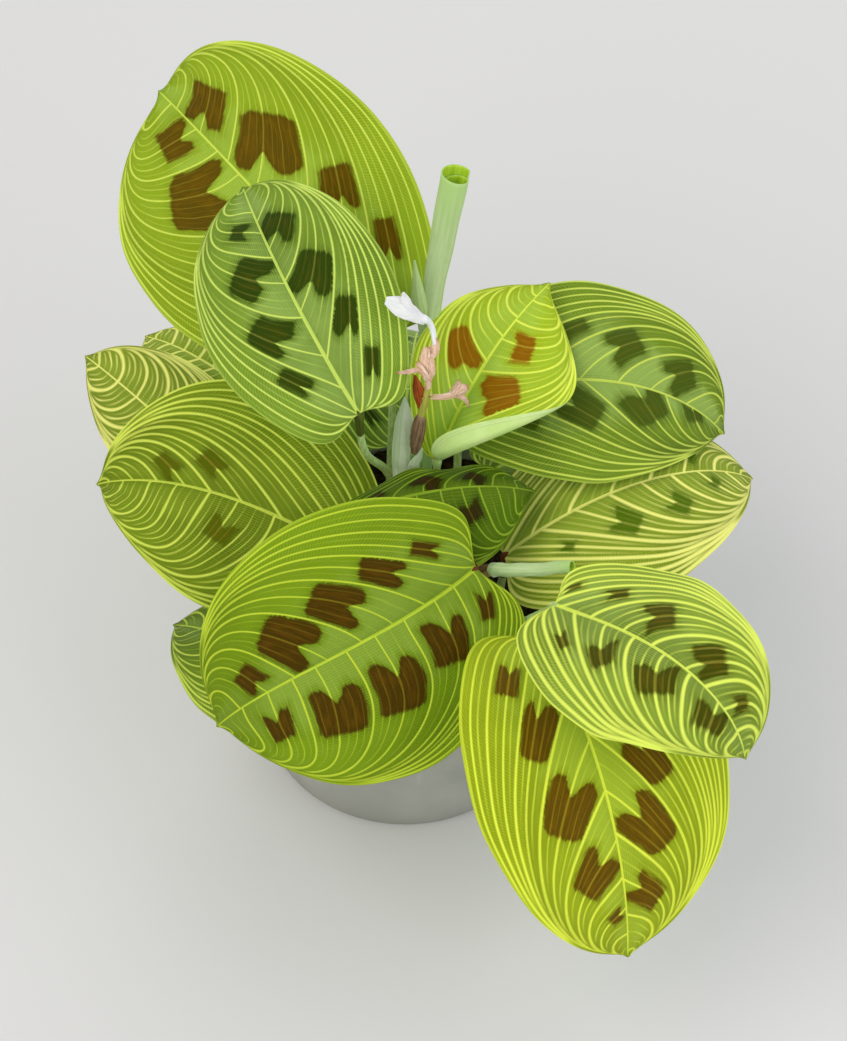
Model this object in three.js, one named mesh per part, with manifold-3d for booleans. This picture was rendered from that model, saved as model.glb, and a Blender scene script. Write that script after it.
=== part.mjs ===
// A prayer plant (Maranta leuconeura) in a plain tapered pot: fifteen blades on their own leaf
// stalks, two young leaves still rolled up, and one sheathed flowering shoot, all rising from soil.
// Millimetres, +Z up. The origin is the centre of the pot's flat base.

import * as THREE from 'three';
import { mergeVertices } from 'three/addons/utils/BufferGeometryUtils.js';
import Module from 'manifold-3d';

const wasm = await Module();
wasm.setup();

// ---- Driving dimensions -------------------------------------------------------------------

const pot = {
  baseRadius: 61,
  rimRadius: 69,
  height: 108,
  wall: 2.6,
  floor: 4,
  drainRadius: 4,
  drainCircle: 30,
  drainCount: 4,
};
const gap = 0.3;            // between pieces that touch
const soilTop = 100;        // soil level at the stems
const soilSink = 1.5;       // how much lower the soil lies along the pot wall
const rootDepth = 9;        // how far every stem stands in its hole
const stalkTop = soilTop + 1;

const blade = {
  thickness: 0.8,
  rows: 12,                 // steps from stalk to tip
  columns: 6,               // steps from edge to edge
  wave: 1.1,                // height of the waved margin
  waves: 3,                 // undulations along one margin
  lobe: 0.07,               // how far the heart-shaped base reaches back, as a share of the length
  rise: 0.5,                // power that opens the outline at the base
  dripTip: 4,               // small pointed end
  hemRadius: 3,             // on which a rolled-up hem turns
  hemPeak: 0.15,            // where on the length the hem is widest
};
const stalk = {
  footRadius: 1.9,
  topRadius: 1.4,
  sides: 6,
  steps: 9,
  knuckle: 6,               // length of the swollen joint below the blade
  knuckleRadius: 2.1,
  ribRadius: 0.5,           // where the raised midrib ends
  ribShares: [0.03, 0.15, 0.34],
};

// Each leaf: base is the point where the blade starts. heading turns from +X towards +Y, pitch is
// the angle above level, droop the angle lost on the way to the tip, swing the sideways turn. roll
// and twist lean the blade about its midrib, camber rolls its margins down, fold lifts both halves
// at the base and at the tip. root is where the stalk enters the soil; hook leans the top of the
// stalk into the blade's own direction, lift is how long it first rises straight. hem is a strip
// along the right margin, of that width, that is still rolled up by hemTurn and shows its underside.
const leaves = {
  leaf_back_tall: {
    base: [-4, 53, 180], heading: 142, pitch: 27, droop: 25, swing: -15, roll: -25, twist: -25,
    length: 143, width: 118, camber: 5, fold: [-5, 15], taper: 0.45, skew: 0.05, bend: 1.5,
    root: [-6, 27], hook: 0, lift: 0.25,
  },
  leaf_upper_left: {
    base: [-16, -12, 205], heading: 129, pitch: 32, droop: 45, swing: -25, roll: -15, twist: -10,
    length: 111, width: 78, camber: 40, fold: [15, 15], taper: 0.65, skew: 0, bend: 1.5,
    root: [-3, 20], hook: 0, lift: 0.6,
  },
  leaf_behind_left: {
    base: [-53, 55, 133], heading: 143, pitch: 14, droop: 40, swing: -5, roll: 0, twist: 0,
    length: 73, width: 46, camber: 35, fold: [5, 5], taper: 0.55, skew: 0, bend: 1.5,
    root: [-26, 26], hook: 0.7, lift: 0.25,
  },
  leaf_far_left: {
    base: [-53, -1, 135], heading: 145, pitch: 19, droop: 30, swing: -15, roll: -5, twist: -30,
    length: 106, width: 64, camber: 60, fold: [5, 5], taper: 0.7, skew: -0.05, bend: 1.75,
    root: [-46, -6], hook: 0.3, lift: 0.25,
  },
  leaf_left: {
    base: [-22, -21, 135], heading: 159, pitch: 20, droop: 50, swing: 5, roll: -25, twist: 0,
    length: 107, width: 95, camber: 25, fold: [0, 35], taper: 0.75, skew: -0.05, bend: 1.75,
    root: [-22, -19], hook: 0, lift: 0.25,
  },
  leaf_front: {
    base: [28, -42, 151], heading: -130, pitch: 3, droop: 55, swing: -50, roll: -45, twist: -5,
    length: 121, width: 108, camber: 15, fold: [20, 5], taper: 0.6, skew: 0, bend: 1.75,
    root: [26, -36], hook: 0, lift: 0.25,
  },
  leaf_hanging: {
    base: [51, -69, 143], heading: -67, pitch: 15, droop: 95, swing: -10, roll: -10, twist: 0,
    length: 137, width: 106, camber: 20, fold: [5, 5], taper: 0.65, skew: 0.05, bend: 1,
    root: [40, -30], via: [[44, -39, 117], [54, -41, 117]],
  },
  leaf_front_right: {
    base: [56, -74, 169], heading: -40, pitch: 21, droop: 95, swing: -5, roll: 5, twist: 5,
    length: 101, width: 77, camber: 45, fold: [15, 10], taper: 0.7, skew: -0.05, bend: 2.5,
    root: [29, -47], via: [[26, -49, 113], [60, -48, 134]],
  },
  leaf_upper_right: {
    base: [22, 32, 166], heading: 6, pitch: 17, droop: 70, swing: -10, roll: 20, twist: 5,
    length: 115, width: 86, camber: 25, fold: [10, 10], taper: 0.65, skew: 0, bend: 1.5,
    root: [21, 20], hook: 0, lift: 0.25,
  },
  leaf_young: {
    base: [13, 6, 159], heading: 61, pitch: 38, droop: 25, swing: -15, roll: 5, twist: 10,
    length: 81, width: 64, camber: 10, fold: [66, -20], taper: 0.6, skew: -0.15, bend: 1.5,
    root: [13, 7], hook: 0, lift: 0.25, lobe: 0.02, rise: 0.55, hem: 16, hemTurn: 140, columns: 20,
  },
  leaf_right: {
    base: [40, -14, 124], heading: 15, pitch: 41, droop: 85, swing: 10, roll: 5, twist: 5,
    length: 117, width: 83, camber: 25, fold: [5, 5], taper: 0.75, skew: -0.1, bend: 1.25,
    root: [39, -14], hook: 0, lift: 0.25,
  },
  leaf_folded_small: {
    base: [-18, -24, 164], heading: 14, pitch: 10, droop: 40, swing: 0, roll: 10, twist: 0,
    length: 70, width: 54, camber: 30, fold: [-25, -15], taper: 0.55, skew: -0.35, bend: 1.5,
    root: [-14, -20], hook: 0, lift: 0.25, wave: 3, waves: 2, phase: 200,
  },
  leaf_low_left: {
    base: [-28, -70, 116], heading: 151, pitch: 2, droop: 35, swing: -5, roll: -5, twist: 5,
    length: 75, width: 66, camber: 25, fold: [0, 20], taper: 0.85, skew: 0.1, bend: 1.75,
    root: [-16, -40], hook: -0.3, lift: 0.25,
  },
  leaf_back_low: {
    base: [-2, 44, 124], heading: 82, pitch: 18, droop: 65, swing: 5, roll: 0, twist: 0,
    length: 82, width: 70, camber: 30, fold: [5, 10], taper: 0.6, skew: 0, bend: 1.5,
    root: [-3, 39], hook: 0.3, lift: 0.25,
  },
  leaf_back_right: {
    base: [34, 28, 126], heading: 20, pitch: 20, droop: 55, swing: 5, roll: 0, twist: 0,
    length: 92, width: 66, camber: 30, fold: [5, 10], taper: 0.6, skew: 0, bend: 1.5,
    root: [34, 28], hook: 0, lift: 0.25,
  },
};

// ---- Solids -------------------------------------------------------------------------------

const radians = THREE.MathUtils.degToRad;
const vec = (x, y, z) => new THREE.Vector3(x, y, z);
const up = vec(0, 0, 1);

// A three.js geometry with merged corners becomes a solid that can be joined and cut.
function toSolid(geometry) {
  const bare = geometry.clone();
  bare.deleteAttribute('normal');
  bare.deleteAttribute('uv');
  const merged = mergeVertices(bare, 1e-5);
  const vertProperties = Float32Array.from(merged.attributes.position.array);
  const triVerts = Uint32Array.from(merged.index.array);
  return new wasm.Manifold(new wasm.Mesh({ numProp: 3, vertProperties, triVerts }));
}

function toGeometry(solid) {
  const mesh = solid.getMesh();
  const geometry = new THREE.BufferGeometry();
  geometry.setAttribute('position', new THREE.BufferAttribute(mesh.vertProperties, 3));
  geometry.setIndex(new THREE.BufferAttribute(mesh.triVerts, 1));
  geometry.computeVertexNormals();
  return geometry;
}

const join = (solids) => solids.reduce((whole, solid) => whole.add(solid));

// The largest closed body of a solid, without the loose scraps that a cut may leave.
function largest(solid) {
  return solid.decompose().reduce((a, b) => (b.volume() > a.volume() ? b : a));
}

// A closed tube along points, with one radius per point. Its section is flat times as thick as it
// is wide, and the first ring's wide axis lies along wide; the rings then follow without twisting.
function tube(points, radii, { sides = 8, flat = 1, wide = vec(1, 0, 0) } = {}) {
  const positions = [];
  const faces = [];
  let across = wide.clone();
  points.forEach((point, i) => {
    const before = points[Math.max(i - 1, 0)];
    const after = points[Math.min(i + 1, points.length - 1)];
    const along = after.clone().sub(before).normalize();
    across.addScaledVector(along, -across.dot(along)).normalize();
    const depth = along.clone().cross(across);
    for (let k = 0; k < sides; k += 1) {
      const turn = (2 * Math.PI * k) / sides;
      const corner = point.clone()
        .addScaledVector(across, radii[i] * Math.cos(turn))
        .addScaledVector(depth, radii[i] * flat * Math.sin(turn));
      positions.push(...corner.toArray());
    }
  });
  const last = (points.length - 1) * sides;
  for (let i = 0; i < points.length - 1; i += 1) {
    for (let k = 0; k < sides; k += 1) {
      const a = i * sides + k;
      const b = i * sides + ((k + 1) % sides);
      faces.push(a, b, b + sides, a, b + sides, a + sides);
    }
  }
  for (let k = 1; k < sides - 1; k += 1) {
    faces.push(0, k + 1, k);
    faces.push(last, last + k, last + k + 1);
  }
  const geometry = new THREE.BufferGeometry();
  geometry.setAttribute('position', new THREE.Float32BufferAttribute(positions, 3));
  geometry.setIndex(faces);
  return toSolid(geometry);
}

// A smooth path through a few points, and a smooth row of radii that goes with it.
function smooth(points, steps) {
  const curve = new THREE.CatmullRomCurve3(points.map((p) => vec(...p)), false, 'centripetal');
  return curve.getPoints(steps);
}

function spread(values, steps) {
  const curve = new THREE.CatmullRomCurve3(values.map((r, i) => vec(i, r, 0)));
  return curve.getPoints(steps).map((p) => Math.max(p.y, 0.25));
}

// The tapered, more or less flattened pieces of shoots and flowers are all such organs.
function organ({ through, radii, steps = 6, sides = 6, flat = 1, wide = [1, 0, 0] }, grow = 0) {
  const widths = spread(radii, steps).map((r) => r + grow);
  const squash = grow > 0 ? Math.max(flat, 0.6) : flat;
  return tube(smooth(through, steps), widths, { sides, flat: squash, wide: vec(...wide) });
}

// ---- Leaves -------------------------------------------------------------------------------

// Direction of the midrib at share u of its length, with the blade's side and face directions.
function frameAt(leaf, u) {
  const pitch = radians(leaf.pitch - leaf.droop * u ** leaf.bend);
  const heading = radians(leaf.heading + leaf.swing * u);
  const lean = radians(leaf.roll + leaf.twist * u);
  const along = vec(
    Math.cos(pitch) * Math.cos(heading),
    Math.cos(pitch) * Math.sin(heading),
    Math.sin(pitch),
  );
  const level = vec(-Math.sin(heading), Math.cos(heading), 0);
  const above = along.clone().cross(level);
  const side = level.clone().multiplyScalar(Math.cos(lean)).addScaledVector(above, Math.sin(lean));
  const face = above.clone().multiplyScalar(Math.cos(lean)).addScaledVector(level, -Math.sin(lean));
  return { along, side, face };
}

// The midrib's own curve, added up in short steps; it runs on straight before the base and past
// the tip.
function midribOf(leaf) {
  const steps = 60;
  const step = leaf.length / steps;
  const points = [vec(...leaf.base)];
  for (let i = 0; i < steps; i += 1) {
    const { along } = frameAt(leaf, (i + 0.5) / steps);
    points.push(points[i].clone().addScaledVector(along, step));
  }
  return (distance) => {
    if (distance <= 0) {
      return points[0].clone().addScaledVector(frameAt(leaf, 0).along, distance);
    }
    if (distance >= leaf.length) {
      return points[steps].clone().addScaledVector(frameAt(leaf, 1).along, distance - leaf.length);
    }
    const i = Math.min(Math.floor(distance / step), steps - 1);
    return points[i].clone().lerp(points[i + 1], distance / step - i);
  };
}

// Half the blade's width at share x of its length: zero at both ends, widest in between.
function halfWidth(leaf, x) {
  const rise = leaf.rise ?? blade.rise;
  const peak = rise / (rise + leaf.taper);
  return (leaf.width / 2) * (x / peak) ** rise * ((1 - x) / (1 - peak)) ** leaf.taper;
}

// Point of the blade at x (0 at the stalk, 1 at the tip) and y (-1 to 1 across), and its normal.
function bladePoint(leaf, midrib, x, y) {
  const lobe = (leaf.lobe ?? blade.lobe) * leaf.length;
  const sideways = Math.sign(y);
  const edge = halfWidth(leaf, x) * (1 + leaf.skew * (y >= 0 ? 1 : -1));
  const hem = y < 0 ? (leaf.hem ?? 0) * (x / blade.hemPeak) * Math.exp(1 - x / blade.hemPeak) : 0;
  const reach = Math.min(Math.abs(y) * (edge + hem), edge);
  const beyond = Math.max(Math.abs(y) * (edge + hem) - edge, 0);
  const lobed = (x / 0.05) * Math.exp(1 - x / 0.05) * y * y;
  const tip = blade.dripTip * Math.exp(-(1 - x) / 0.04) * Math.exp(-reach / 3);
  const distance = x * leaf.length - lobe * lobed;
  const u = THREE.MathUtils.clamp(distance / leaf.length, 0, 1);
  const { side, face } = frameAt(leaf, u);

  const curl = (radians(leaf.camber) * reach) / (leaf.width / 2);
  const fold = radians(THREE.MathUtils.lerp(leaf.fold[0], leaf.fold[1], u));
  const chord = curl > 1e-6 ? (reach * Math.sin(curl / 2)) / (curl / 2) : reach;
  const climb = fold - curl / 2;
  const height = leaf.wave ?? blade.wave;
  const phase = radians(leaf.phase ?? 0) + (y >= 0 ? 0 : 1.3);
  const ripple = Math.sin(2 * Math.PI * (leaf.waves ?? blade.waves) * x + phase);
  const wave = height * ripple * Math.abs(y) ** 3 * Math.sin(Math.PI * x);

  const radius = blade.hemRadius;
  const turned = Math.min(beyond / radius, radians(leaf.hemTurn ?? 0));
  const straight = beyond - radius * turned;
  const out = radius * Math.sin(turned) + straight * Math.cos(turned);
  const rolled = radius * (1 - Math.cos(turned)) + straight * Math.sin(turned);
  const rim = fold - curl;

  const point = midrib(distance + tip)
    .addScaledVector(side, sideways * (chord * Math.cos(climb) + out * Math.cos(rim)
      - rolled * Math.sin(rim)))
    .addScaledVector(face, chord * Math.sin(climb) + out * Math.sin(rim) + rolled * Math.cos(rim)
      + wave);
  const slope = rim + turned;
  const normal = y === 0
    ? face.clone().divideScalar(Math.max(Math.cos(fold), 0.4))
    : face.clone().multiplyScalar(Math.cos(slope)).addScaledVector(side, -sideways * Math.sin(slope));
  return { point, normal };
}

// The blade as one thin closed shell. Upper and lower face are split into triangles alike.
function bladeSolid(leaf, midrib) {
  const { rows, thickness } = blade;
  const columns = leaf.columns ?? blade.columns;
  const upper = [];
  const lower = [];
  for (let i = 0; i <= rows; i += 1) {
    const x = (1 - Math.cos((Math.PI * i) / rows)) / 2;
    for (let j = 0; j <= columns; j += 1) {
      const y = -1 + (2 * j) / columns;
      const end = i === 0 || i === rows;
      const { point, normal } = bladePoint(leaf, midrib, x, end ? 0 : y);
      upper.push(point.clone().addScaledVector(normal, thickness / 2));
      lower.push(point.clone().addScaledVector(normal, -thickness / 2));
    }
  }
  const positions = [...upper, ...lower].flatMap((p) => p.toArray());
  const faces = [];
  const below = upper.length;
  const triangle = (a, b, c) => {
    faces.push(a, b, c, below + a, below + c, below + b);
  };
  for (let i = 0; i < rows; i += 1) {
    for (let j = 0; j < columns; j += 1) {
      const a = i * (columns + 1) + j;
      const b = a + columns + 1;
      if (i < rows - 1) {
        triangle(a, b, b + 1);
      }
      if (i > 0) {
        triangle(a, b + 1, a + 1);
      }
    }
    const left = i * (columns + 1);
    const right = left + columns;
    const next = columns + 1;
    faces.push(left, below + left, below + left + next, left, below + left + next, left + next);
    faces.push(right, right + next, below + right + next);
    faces.push(right, below + right + next, below + right);
  }
  const geometry = new THREE.BufferGeometry();
  geometry.setAttribute('position', new THREE.Float32BufferAttribute(positions, 3));
  geometry.setIndex(faces);
  return toSolid(geometry);
}

// The leaf stalk's path: straight up out of the soil, then a curve to just below the blade's base.
function stalkPath(leaf, end) {
  const [rootX, rootY] = leaf.root;
  const start = vec(rootX, rootY, stalkTop);
  const rise = end.z - stalkTop;
  let controls;
  if (leaf.via) {
    controls = leaf.via.map((p) => vec(...p));
  } else {
    const arrive = frameAt(leaf, 0).along.multiplyScalar(leaf.hook);
    arrive.addScaledVector(up, 1 - Math.abs(leaf.hook)).normalize();
    const before = end.clone().addScaledVector(arrive, -0.45 * rise);
    before.z = Math.max(before.z, stalkTop + 3);
    controls = [start.clone().addScaledVector(up, leaf.lift * rise), before];
  }
  const curve = new THREE.CubicBezierCurve3(start, controls[0], controls[1], end);
  return [vec(rootX, rootY, soilTop - rootDepth), ...curve.getPoints(stalk.steps)];
}

// Leaf stalk, swollen joint and the raised part of the midrib below the blade, as one tube.
function stalkSolid(leaf, midrib) {
  const under = stalk.topRadius - 0.2;
  const path = stalkPath(leaf, vec(...leaf.base).addScaledVector(frameAt(leaf, 0).face, -under));
  const radii = path.map((point, i) =>
    THREE.MathUtils.lerp(stalk.footRadius, stalk.topRadius, i / (path.length - 1)));
  const top = path.pop();
  const below = path[path.length - 1].clone().sub(top).setLength(stalk.knuckle);
  path.push(top.clone().add(below), top);
  radii.splice(-1, 1, stalk.topRadius, stalk.knuckleRadius);
  stalk.ribShares.forEach((u) => {
    const radius = THREE.MathUtils.lerp(stalk.topRadius, stalk.ribRadius, u / stalk.ribShares.at(-1));
    const { face } = frameAt(leaf, u);
    path.push(midrib(u * leaf.length).addScaledVector(face, -(radius - 0.2)));
    radii.push(radius);
  });
  return tube(path, radii, { sides: stalk.sides });
}

function leafSolid(leaf) {
  const midrib = midribOf(leaf);
  return bladeSolid(leaf, midrib).add(stalkSolid(leaf, midrib));
}

// ---- Rolled young leaves ------------------------------------------------------------------

const rolledTall = [
  { through: [[10, 24, 91], [9, 27, 125], [9, 39, 160], [10.5, 54, 193], [15, 61, 224], [20, 66, 255]],
    radii: [2.4, 2.6, 3.2, 3.9, 4.7, 5.3], steps: 16, sides: 10 },
  { through: [[8.5, 50, 187], [6.2, 52, 199], [4.5, 58, 217]], radii: [2.2, 2.9, 0.4], flat: 0.45 },
];
const rolledLow = [
  { through: [[22, -22, 91], [23, -25, 118], [28, -31, 134], [37, -35, 141], [50, -39, 146],
    [65, -42, 152]], radii: [1.9, 2.1, 2.6, 2.6, 2.4, 2.1], steps: 14, sides: 8 },
];

// ---- Flowering shoot ----------------------------------------------------------------------

// Its pieces differ in colour and are separate bodies with a small gap where they meet.
const shoot = {
  flower_shoot: [
    { through: [[1.5, 9, 91], [2, 8, 130], [3, 5, 158], [4, 3, 165], [4.2, -0.6, 170.5]],
      radii: [1.8, 1.7, 1.6, 1.5, 1.3], steps: 9 },
    { through: [[0, 8, 91], [0, 7, 125], [0, 6, 150], [0, 4.5, 161], [0.5, 5, 180], [1, 5, 196]],
      radii: [2.2, 3.2, 4, 4, 2.6, 0.4], steps: 10, flat: 0.5 },
    { through: [[4.4, 4, 157], [6.2, 1.8, 166], [7.3, -0.5, 173]], radii: [2.2, 2.4, 0.4],
      flat: 0.4 },
  ],
  flower_spindle_bract: [
    { through: [[4.3, -0.8, 170.8], [5.5, 0, 181], [7, 0.3, 191.5]], radii: [1.4, 2.7, 1.1] },
  ],
  flower_pedicel: [
    { through: [[7.1, 0.3, 191.8], [8.4, 1.5, 197], [9.5, 2.2, 204]], radii: [1.4, 2.3, 1.6],
      flat: 0.7 },
  ],
  flower_red_bract: [
    { through: [[6.8, 1.2, 194], [5.6, 2, 203], [4.8, 2.5, 211]], radii: [1.2, 1.8, 0.5] },
  ],
  flower_old: [
    { through: [[9.6, 2.3, 204], [10, 3, 209], [9, 5.5, 213], [8.7, 7, 217]],
      radii: [1.4, 1.8, 3.3, 1.2], steps: 7 },
    { through: [[8, 4.5, 212.5], [4, 0.5, 215.5], [-2, -4, 219]], radii: [1.4, 0.9, 0.3],
      flat: 0.6, steps: 4 },
  ],
  flower_bud_bract: [
    { through: [[9.8, 7.5, 213.5], [12, 10, 217], [12.5, 12, 220]], radii: [1.3, 1.9, 1] },
  ],
  flower_white: [
    { through: [[12.5, 12, 219.5], [11.5, 14, 223], [10, 15, 226.5], [8, 13, 230]],
      radii: [1.1, 1.3, 1.5, 2.2], steps: 6 },
    { through: [[8.5, 13.2, 229], [4, 13.5, 232.5], [-1, 14, 236], [-6, 14, 239]],
      radii: [1.8, 2.8, 3.2, 0.8], flat: 0.35, wide: [0, 0.6, 0.8] },
    { through: [[2, 14, 234], [-1, 15, 238.5], [-3, 15.5, 242]], radii: [1.4, 1.7, 0.4], flat: 0.4,
      steps: 4 },
  ],
  flower_withered: [
    { through: [[10, 3.6, 198], [14, 6, 195], [19, 9, 193], [24, 12, 193]],
      radii: [1, 1.4, 1.6, 2.3] },
    { through: [[20, 9.5, 193], [24, 9.5, 190], [25.5, 9, 186]], radii: [1, 0.9, 0.3], steps: 4 },
  ],
};

function shootSolids() {
  const made = {};
  let taken = null;
  Object.entries(shoot).forEach(([name, pieces]) => {
    let solid = join(pieces.map((piece) => organ(piece)));
    if (taken) {
      solid = largest(solid.subtract(taken));
    }
    const grown = join(pieces.map((piece) => organ(piece, gap)));
    taken = taken ? taken.add(grown) : grown;
    made[name] = solid;
  });
  return made;
}

// ---- Pot and soil -------------------------------------------------------------------------

// Radius of the pot's outer wall at a height.
function potRadius(height) {
  return THREE.MathUtils.lerp(pot.baseRadius, pot.rimRadius, height / pot.height);
}

function turned(profile, segments) {
  return toSolid(new THREE.LatheGeometry(profile.map(([r, z]) => new THREE.Vector2(r, z)), segments)
    .rotateX(Math.PI / 2));
}

function post(x, y, from, to, radius, sides) {
  const geometry = new THREE.CylinderGeometry(radius, radius, to - from, sides);
  geometry.rotateX(Math.PI / 2);
  geometry.translate(x, y, (from + to) / 2);
  return toSolid(geometry);
}

function potSolid() {
  const edge = 0.8;
  let solid = turned([
    [0, 0],
    [pot.baseRadius - edge, 0],
    [potRadius(edge), edge],
    [potRadius(pot.height - edge), pot.height - edge],
    [pot.rimRadius - edge, pot.height],
    [pot.rimRadius - pot.wall + 0.5, pot.height],
    [potRadius(pot.height - edge) - pot.wall, pot.height - edge],
    [potRadius(pot.floor) - pot.wall, pot.floor],
    [0, pot.floor],
  ], 48);
  for (let k = 0; k < pot.drainCount; k += 1) {
    const turn = (2 * Math.PI * (k + 0.5)) / pot.drainCount;
    const x = pot.drainCircle * Math.cos(turn);
    const y = pot.drainCircle * Math.sin(turn);
    solid = solid.subtract(post(x, y, -1, pot.floor + 1, pot.drainRadius, 12));
  }
  return solid;
}

// Soil fills the pot. Every stem stands in a plain hole of its own.
function soilSolid() {
  const bottom = pot.floor + gap;
  const inset = pot.wall + gap;
  const edge = soilTop - soilSink;
  let solid = turned([
    [0, bottom],
    [potRadius(bottom) - inset, bottom],
    [potRadius(edge) - inset, edge],
    [potRadius(edge) - inset - 8, soilTop],
    [0, soilTop],
  ], 40);
  const depth = soilTop - rootDepth - gap;
  const hole = (x, y, radius) => post(x, y, depth, soilTop + 1, radius + gap, 8);
  Object.values(leaves).forEach(({ root }) => {
    solid = solid.subtract(hole(...root, stalk.footRadius + 0.3));
  });
  [rolledTall[0], rolledLow[0], ...shoot.flower_shoot.slice(0, 2)].forEach(({ through, radii }) => {
    solid = solid.subtract(hole(through[0][0], through[0][1], radii[0] + 0.6));
  });
  return solid;
}

// ---- Assembly -----------------------------------------------------------------------------

const colours = {
  pot: { color: 0xb4b4ab, roughness: 0.55 },
  soil: { color: 0x3a2c20, roughness: 1 },
  leaf: { color: 0x8fae2b, roughness: 0.5 },
  shoot: { color: 0xb4cf8e, roughness: 0.55 },
  bract: { color: 0x8d5a38, roughness: 0.7 },
  petal: { color: 0xf4f2ee, roughness: 0.6 },
  faded: { color: 0xd9b49c, roughness: 0.7 },
};
const shootColours = {
  flower_shoot: 'shoot',
  flower_spindle_bract: 'bract',
  flower_pedicel: 'shoot',
  flower_red_bract: 'bract',
  flower_old: 'faded',
  flower_bud_bract: 'faded',
  flower_white: 'petal',
  flower_withered: 'faded',
};
const materials = Object.fromEntries(Object.entries(colours).map(([name, look]) =>
  [name, new THREE.MeshStandardMaterial({ ...look, metalness: 0 })]));

const plant = new THREE.Group();

function place(name, solid, colour) {
  const mesh = new THREE.Mesh(toGeometry(solid), materials[colour]);
  mesh.name = name;
  plant.add(mesh);
}

place('pot', potSolid(), 'pot');
place('soil', soilSolid(), 'soil');
Object.entries(leaves).forEach(([name, leaf]) => place(name, leafSolid(leaf), 'leaf'));
place('rolled_leaf_tall', join(rolledTall.map((piece) => organ(piece))), 'shoot');
place('rolled_leaf_low', join(rolledLow.map((piece) => organ(piece))), 'shoot');
Object.entries(shootSolids()).forEach(([name, solid]) => place(name, solid, shootColours[name]));

export default plant;
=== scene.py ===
import bpy
import numpy as np
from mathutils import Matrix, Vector


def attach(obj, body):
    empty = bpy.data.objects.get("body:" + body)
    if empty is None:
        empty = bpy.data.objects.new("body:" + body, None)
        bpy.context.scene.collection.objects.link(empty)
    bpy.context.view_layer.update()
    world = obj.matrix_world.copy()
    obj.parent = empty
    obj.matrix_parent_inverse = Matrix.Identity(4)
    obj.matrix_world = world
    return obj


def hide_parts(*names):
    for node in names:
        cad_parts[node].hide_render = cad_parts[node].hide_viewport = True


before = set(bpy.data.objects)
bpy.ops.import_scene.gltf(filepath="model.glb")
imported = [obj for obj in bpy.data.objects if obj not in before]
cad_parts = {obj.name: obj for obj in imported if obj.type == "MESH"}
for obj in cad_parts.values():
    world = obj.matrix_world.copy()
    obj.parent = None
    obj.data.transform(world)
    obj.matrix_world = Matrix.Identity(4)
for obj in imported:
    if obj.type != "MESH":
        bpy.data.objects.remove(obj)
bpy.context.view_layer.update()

MM = 0.001

# ---- The place: camera, floor and light ----------------------------------------------------
# The plant stands on a plain pale floor under soft studio light. The camera looks down on it
# from the front at 50 degrees, one metre away: both are estimated from the photograph.

view_width, view_height = 847, 1041          # the photograph's frame, in pixels
focal_pixels = 2500
look_down = np.radians(50)
look_at = np.array([8, 0, 129]) * MM
look_from = look_at + np.array([0, -np.cos(look_down), np.sin(look_down)])

camera = bpy.data.objects.new("camera", bpy.data.cameras.new("camera"))
camera.data.sensor_width = 36
camera.data.lens = camera.data.sensor_width * focal_pixels / max(view_width, view_height)
camera.location = look_from
camera.rotation_euler = (np.pi / 2 - look_down, 0, 0)
bpy.context.scene.collection.objects.link(camera)
bpy.context.scene.camera = camera
bpy.context.scene.view_settings.view_transform = "Standard"


def paint(code):
    """The linear red, green, blue and alpha of a colour written as six hex digits."""
    level = np.array([int(code[k:k + 2], 16) for k in (0, 2, 4)]) / 255
    linear = np.where(level > 0.04045, ((level + 0.055) / 1.055) ** 2.4, level / 12.92)
    return (*linear.tolist(), 1)


def finish(name, roughness, specular=0.4, **sockets):
    """A new material, with its node tree and the shader that takes its colour."""
    material = bpy.data.materials.new(name)
    material.use_nodes = True
    shader = material.node_tree.nodes["Principled BSDF"]
    shader.inputs["Roughness"].default_value = roughness
    shader.inputs["Specular IOR Level"].default_value = specular
    for socket, value in sockets.items():
        shader.inputs[socket.replace("_", " ")].default_value = value
    return material, material.node_tree, shader


floor_mesh = bpy.data.meshes.new("floor")
floor_reach = 4
floor_corners = [(x * floor_reach, y * floor_reach, 0) for x, y in ((-1, -1), (1, -1), (1, 1), (-1, 1))]
floor_mesh.from_pydata(floor_corners, [], [(0, 1, 2, 3)])
floor = bpy.data.objects.new("floor", floor_mesh)
bpy.context.scene.collection.objects.link(floor)
floor_finish, tree, shader = finish("pale_floor", 0.9, 0.1)
shader.inputs["Base Color"].default_value = paint("dadada")
floor_mesh.materials.append(floor_finish)

world = bpy.data.worlds.new("studio")
world.use_nodes = True
world.node_tree.nodes["Background"].inputs["Color"].default_value = paint("fdfdff")
world.node_tree.nodes["Background"].inputs["Strength"].default_value = 0.62
bpy.context.scene.world = world


def softbox(name, at, size, power, colour):
    """A square area light that hangs at a point and faces the middle of the plant."""
    lamp = bpy.data.lights.new(name, "AREA")
    lamp.size = size
    lamp.energy = power
    lamp.color = paint(colour)[:3]
    hung = bpy.data.objects.new(name, lamp)
    hung.location = at
    hung.rotation_euler = (Vector(look_at) - Vector(at)).to_track_quat("-Z", "Y").to_euler()
    bpy.context.scene.collection.objects.link(hung)


softbox("key", (-0.9, -0.7, 1.6), 1.4, 15, "fffaf0")
softbox("fill", (1.3, -0.9, 1.0), 1.4, 9, "fafbff")
softbox("rim", (0.3, 1.5, 1.0), 1.0, 6, "ffffff")


# ---- Pot -------------------------------------------------------------------------------------
# A tapered round nursery pot of light grey plastic, injection moulded in one piece, with a
# rounded rim, a shallow foot, four drain holes and a pin hole in the middle of its floor.

pot_height, pot_foot, pot_rim, pot_wall, pot_floor = 108, 61, 69, 2.6, 4
foot_height, foot_inset, floor_step, pin_hole = 3, 4, 28, 1
drain_ring, drain_radius, drain_count = 30, 4, 4


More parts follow.
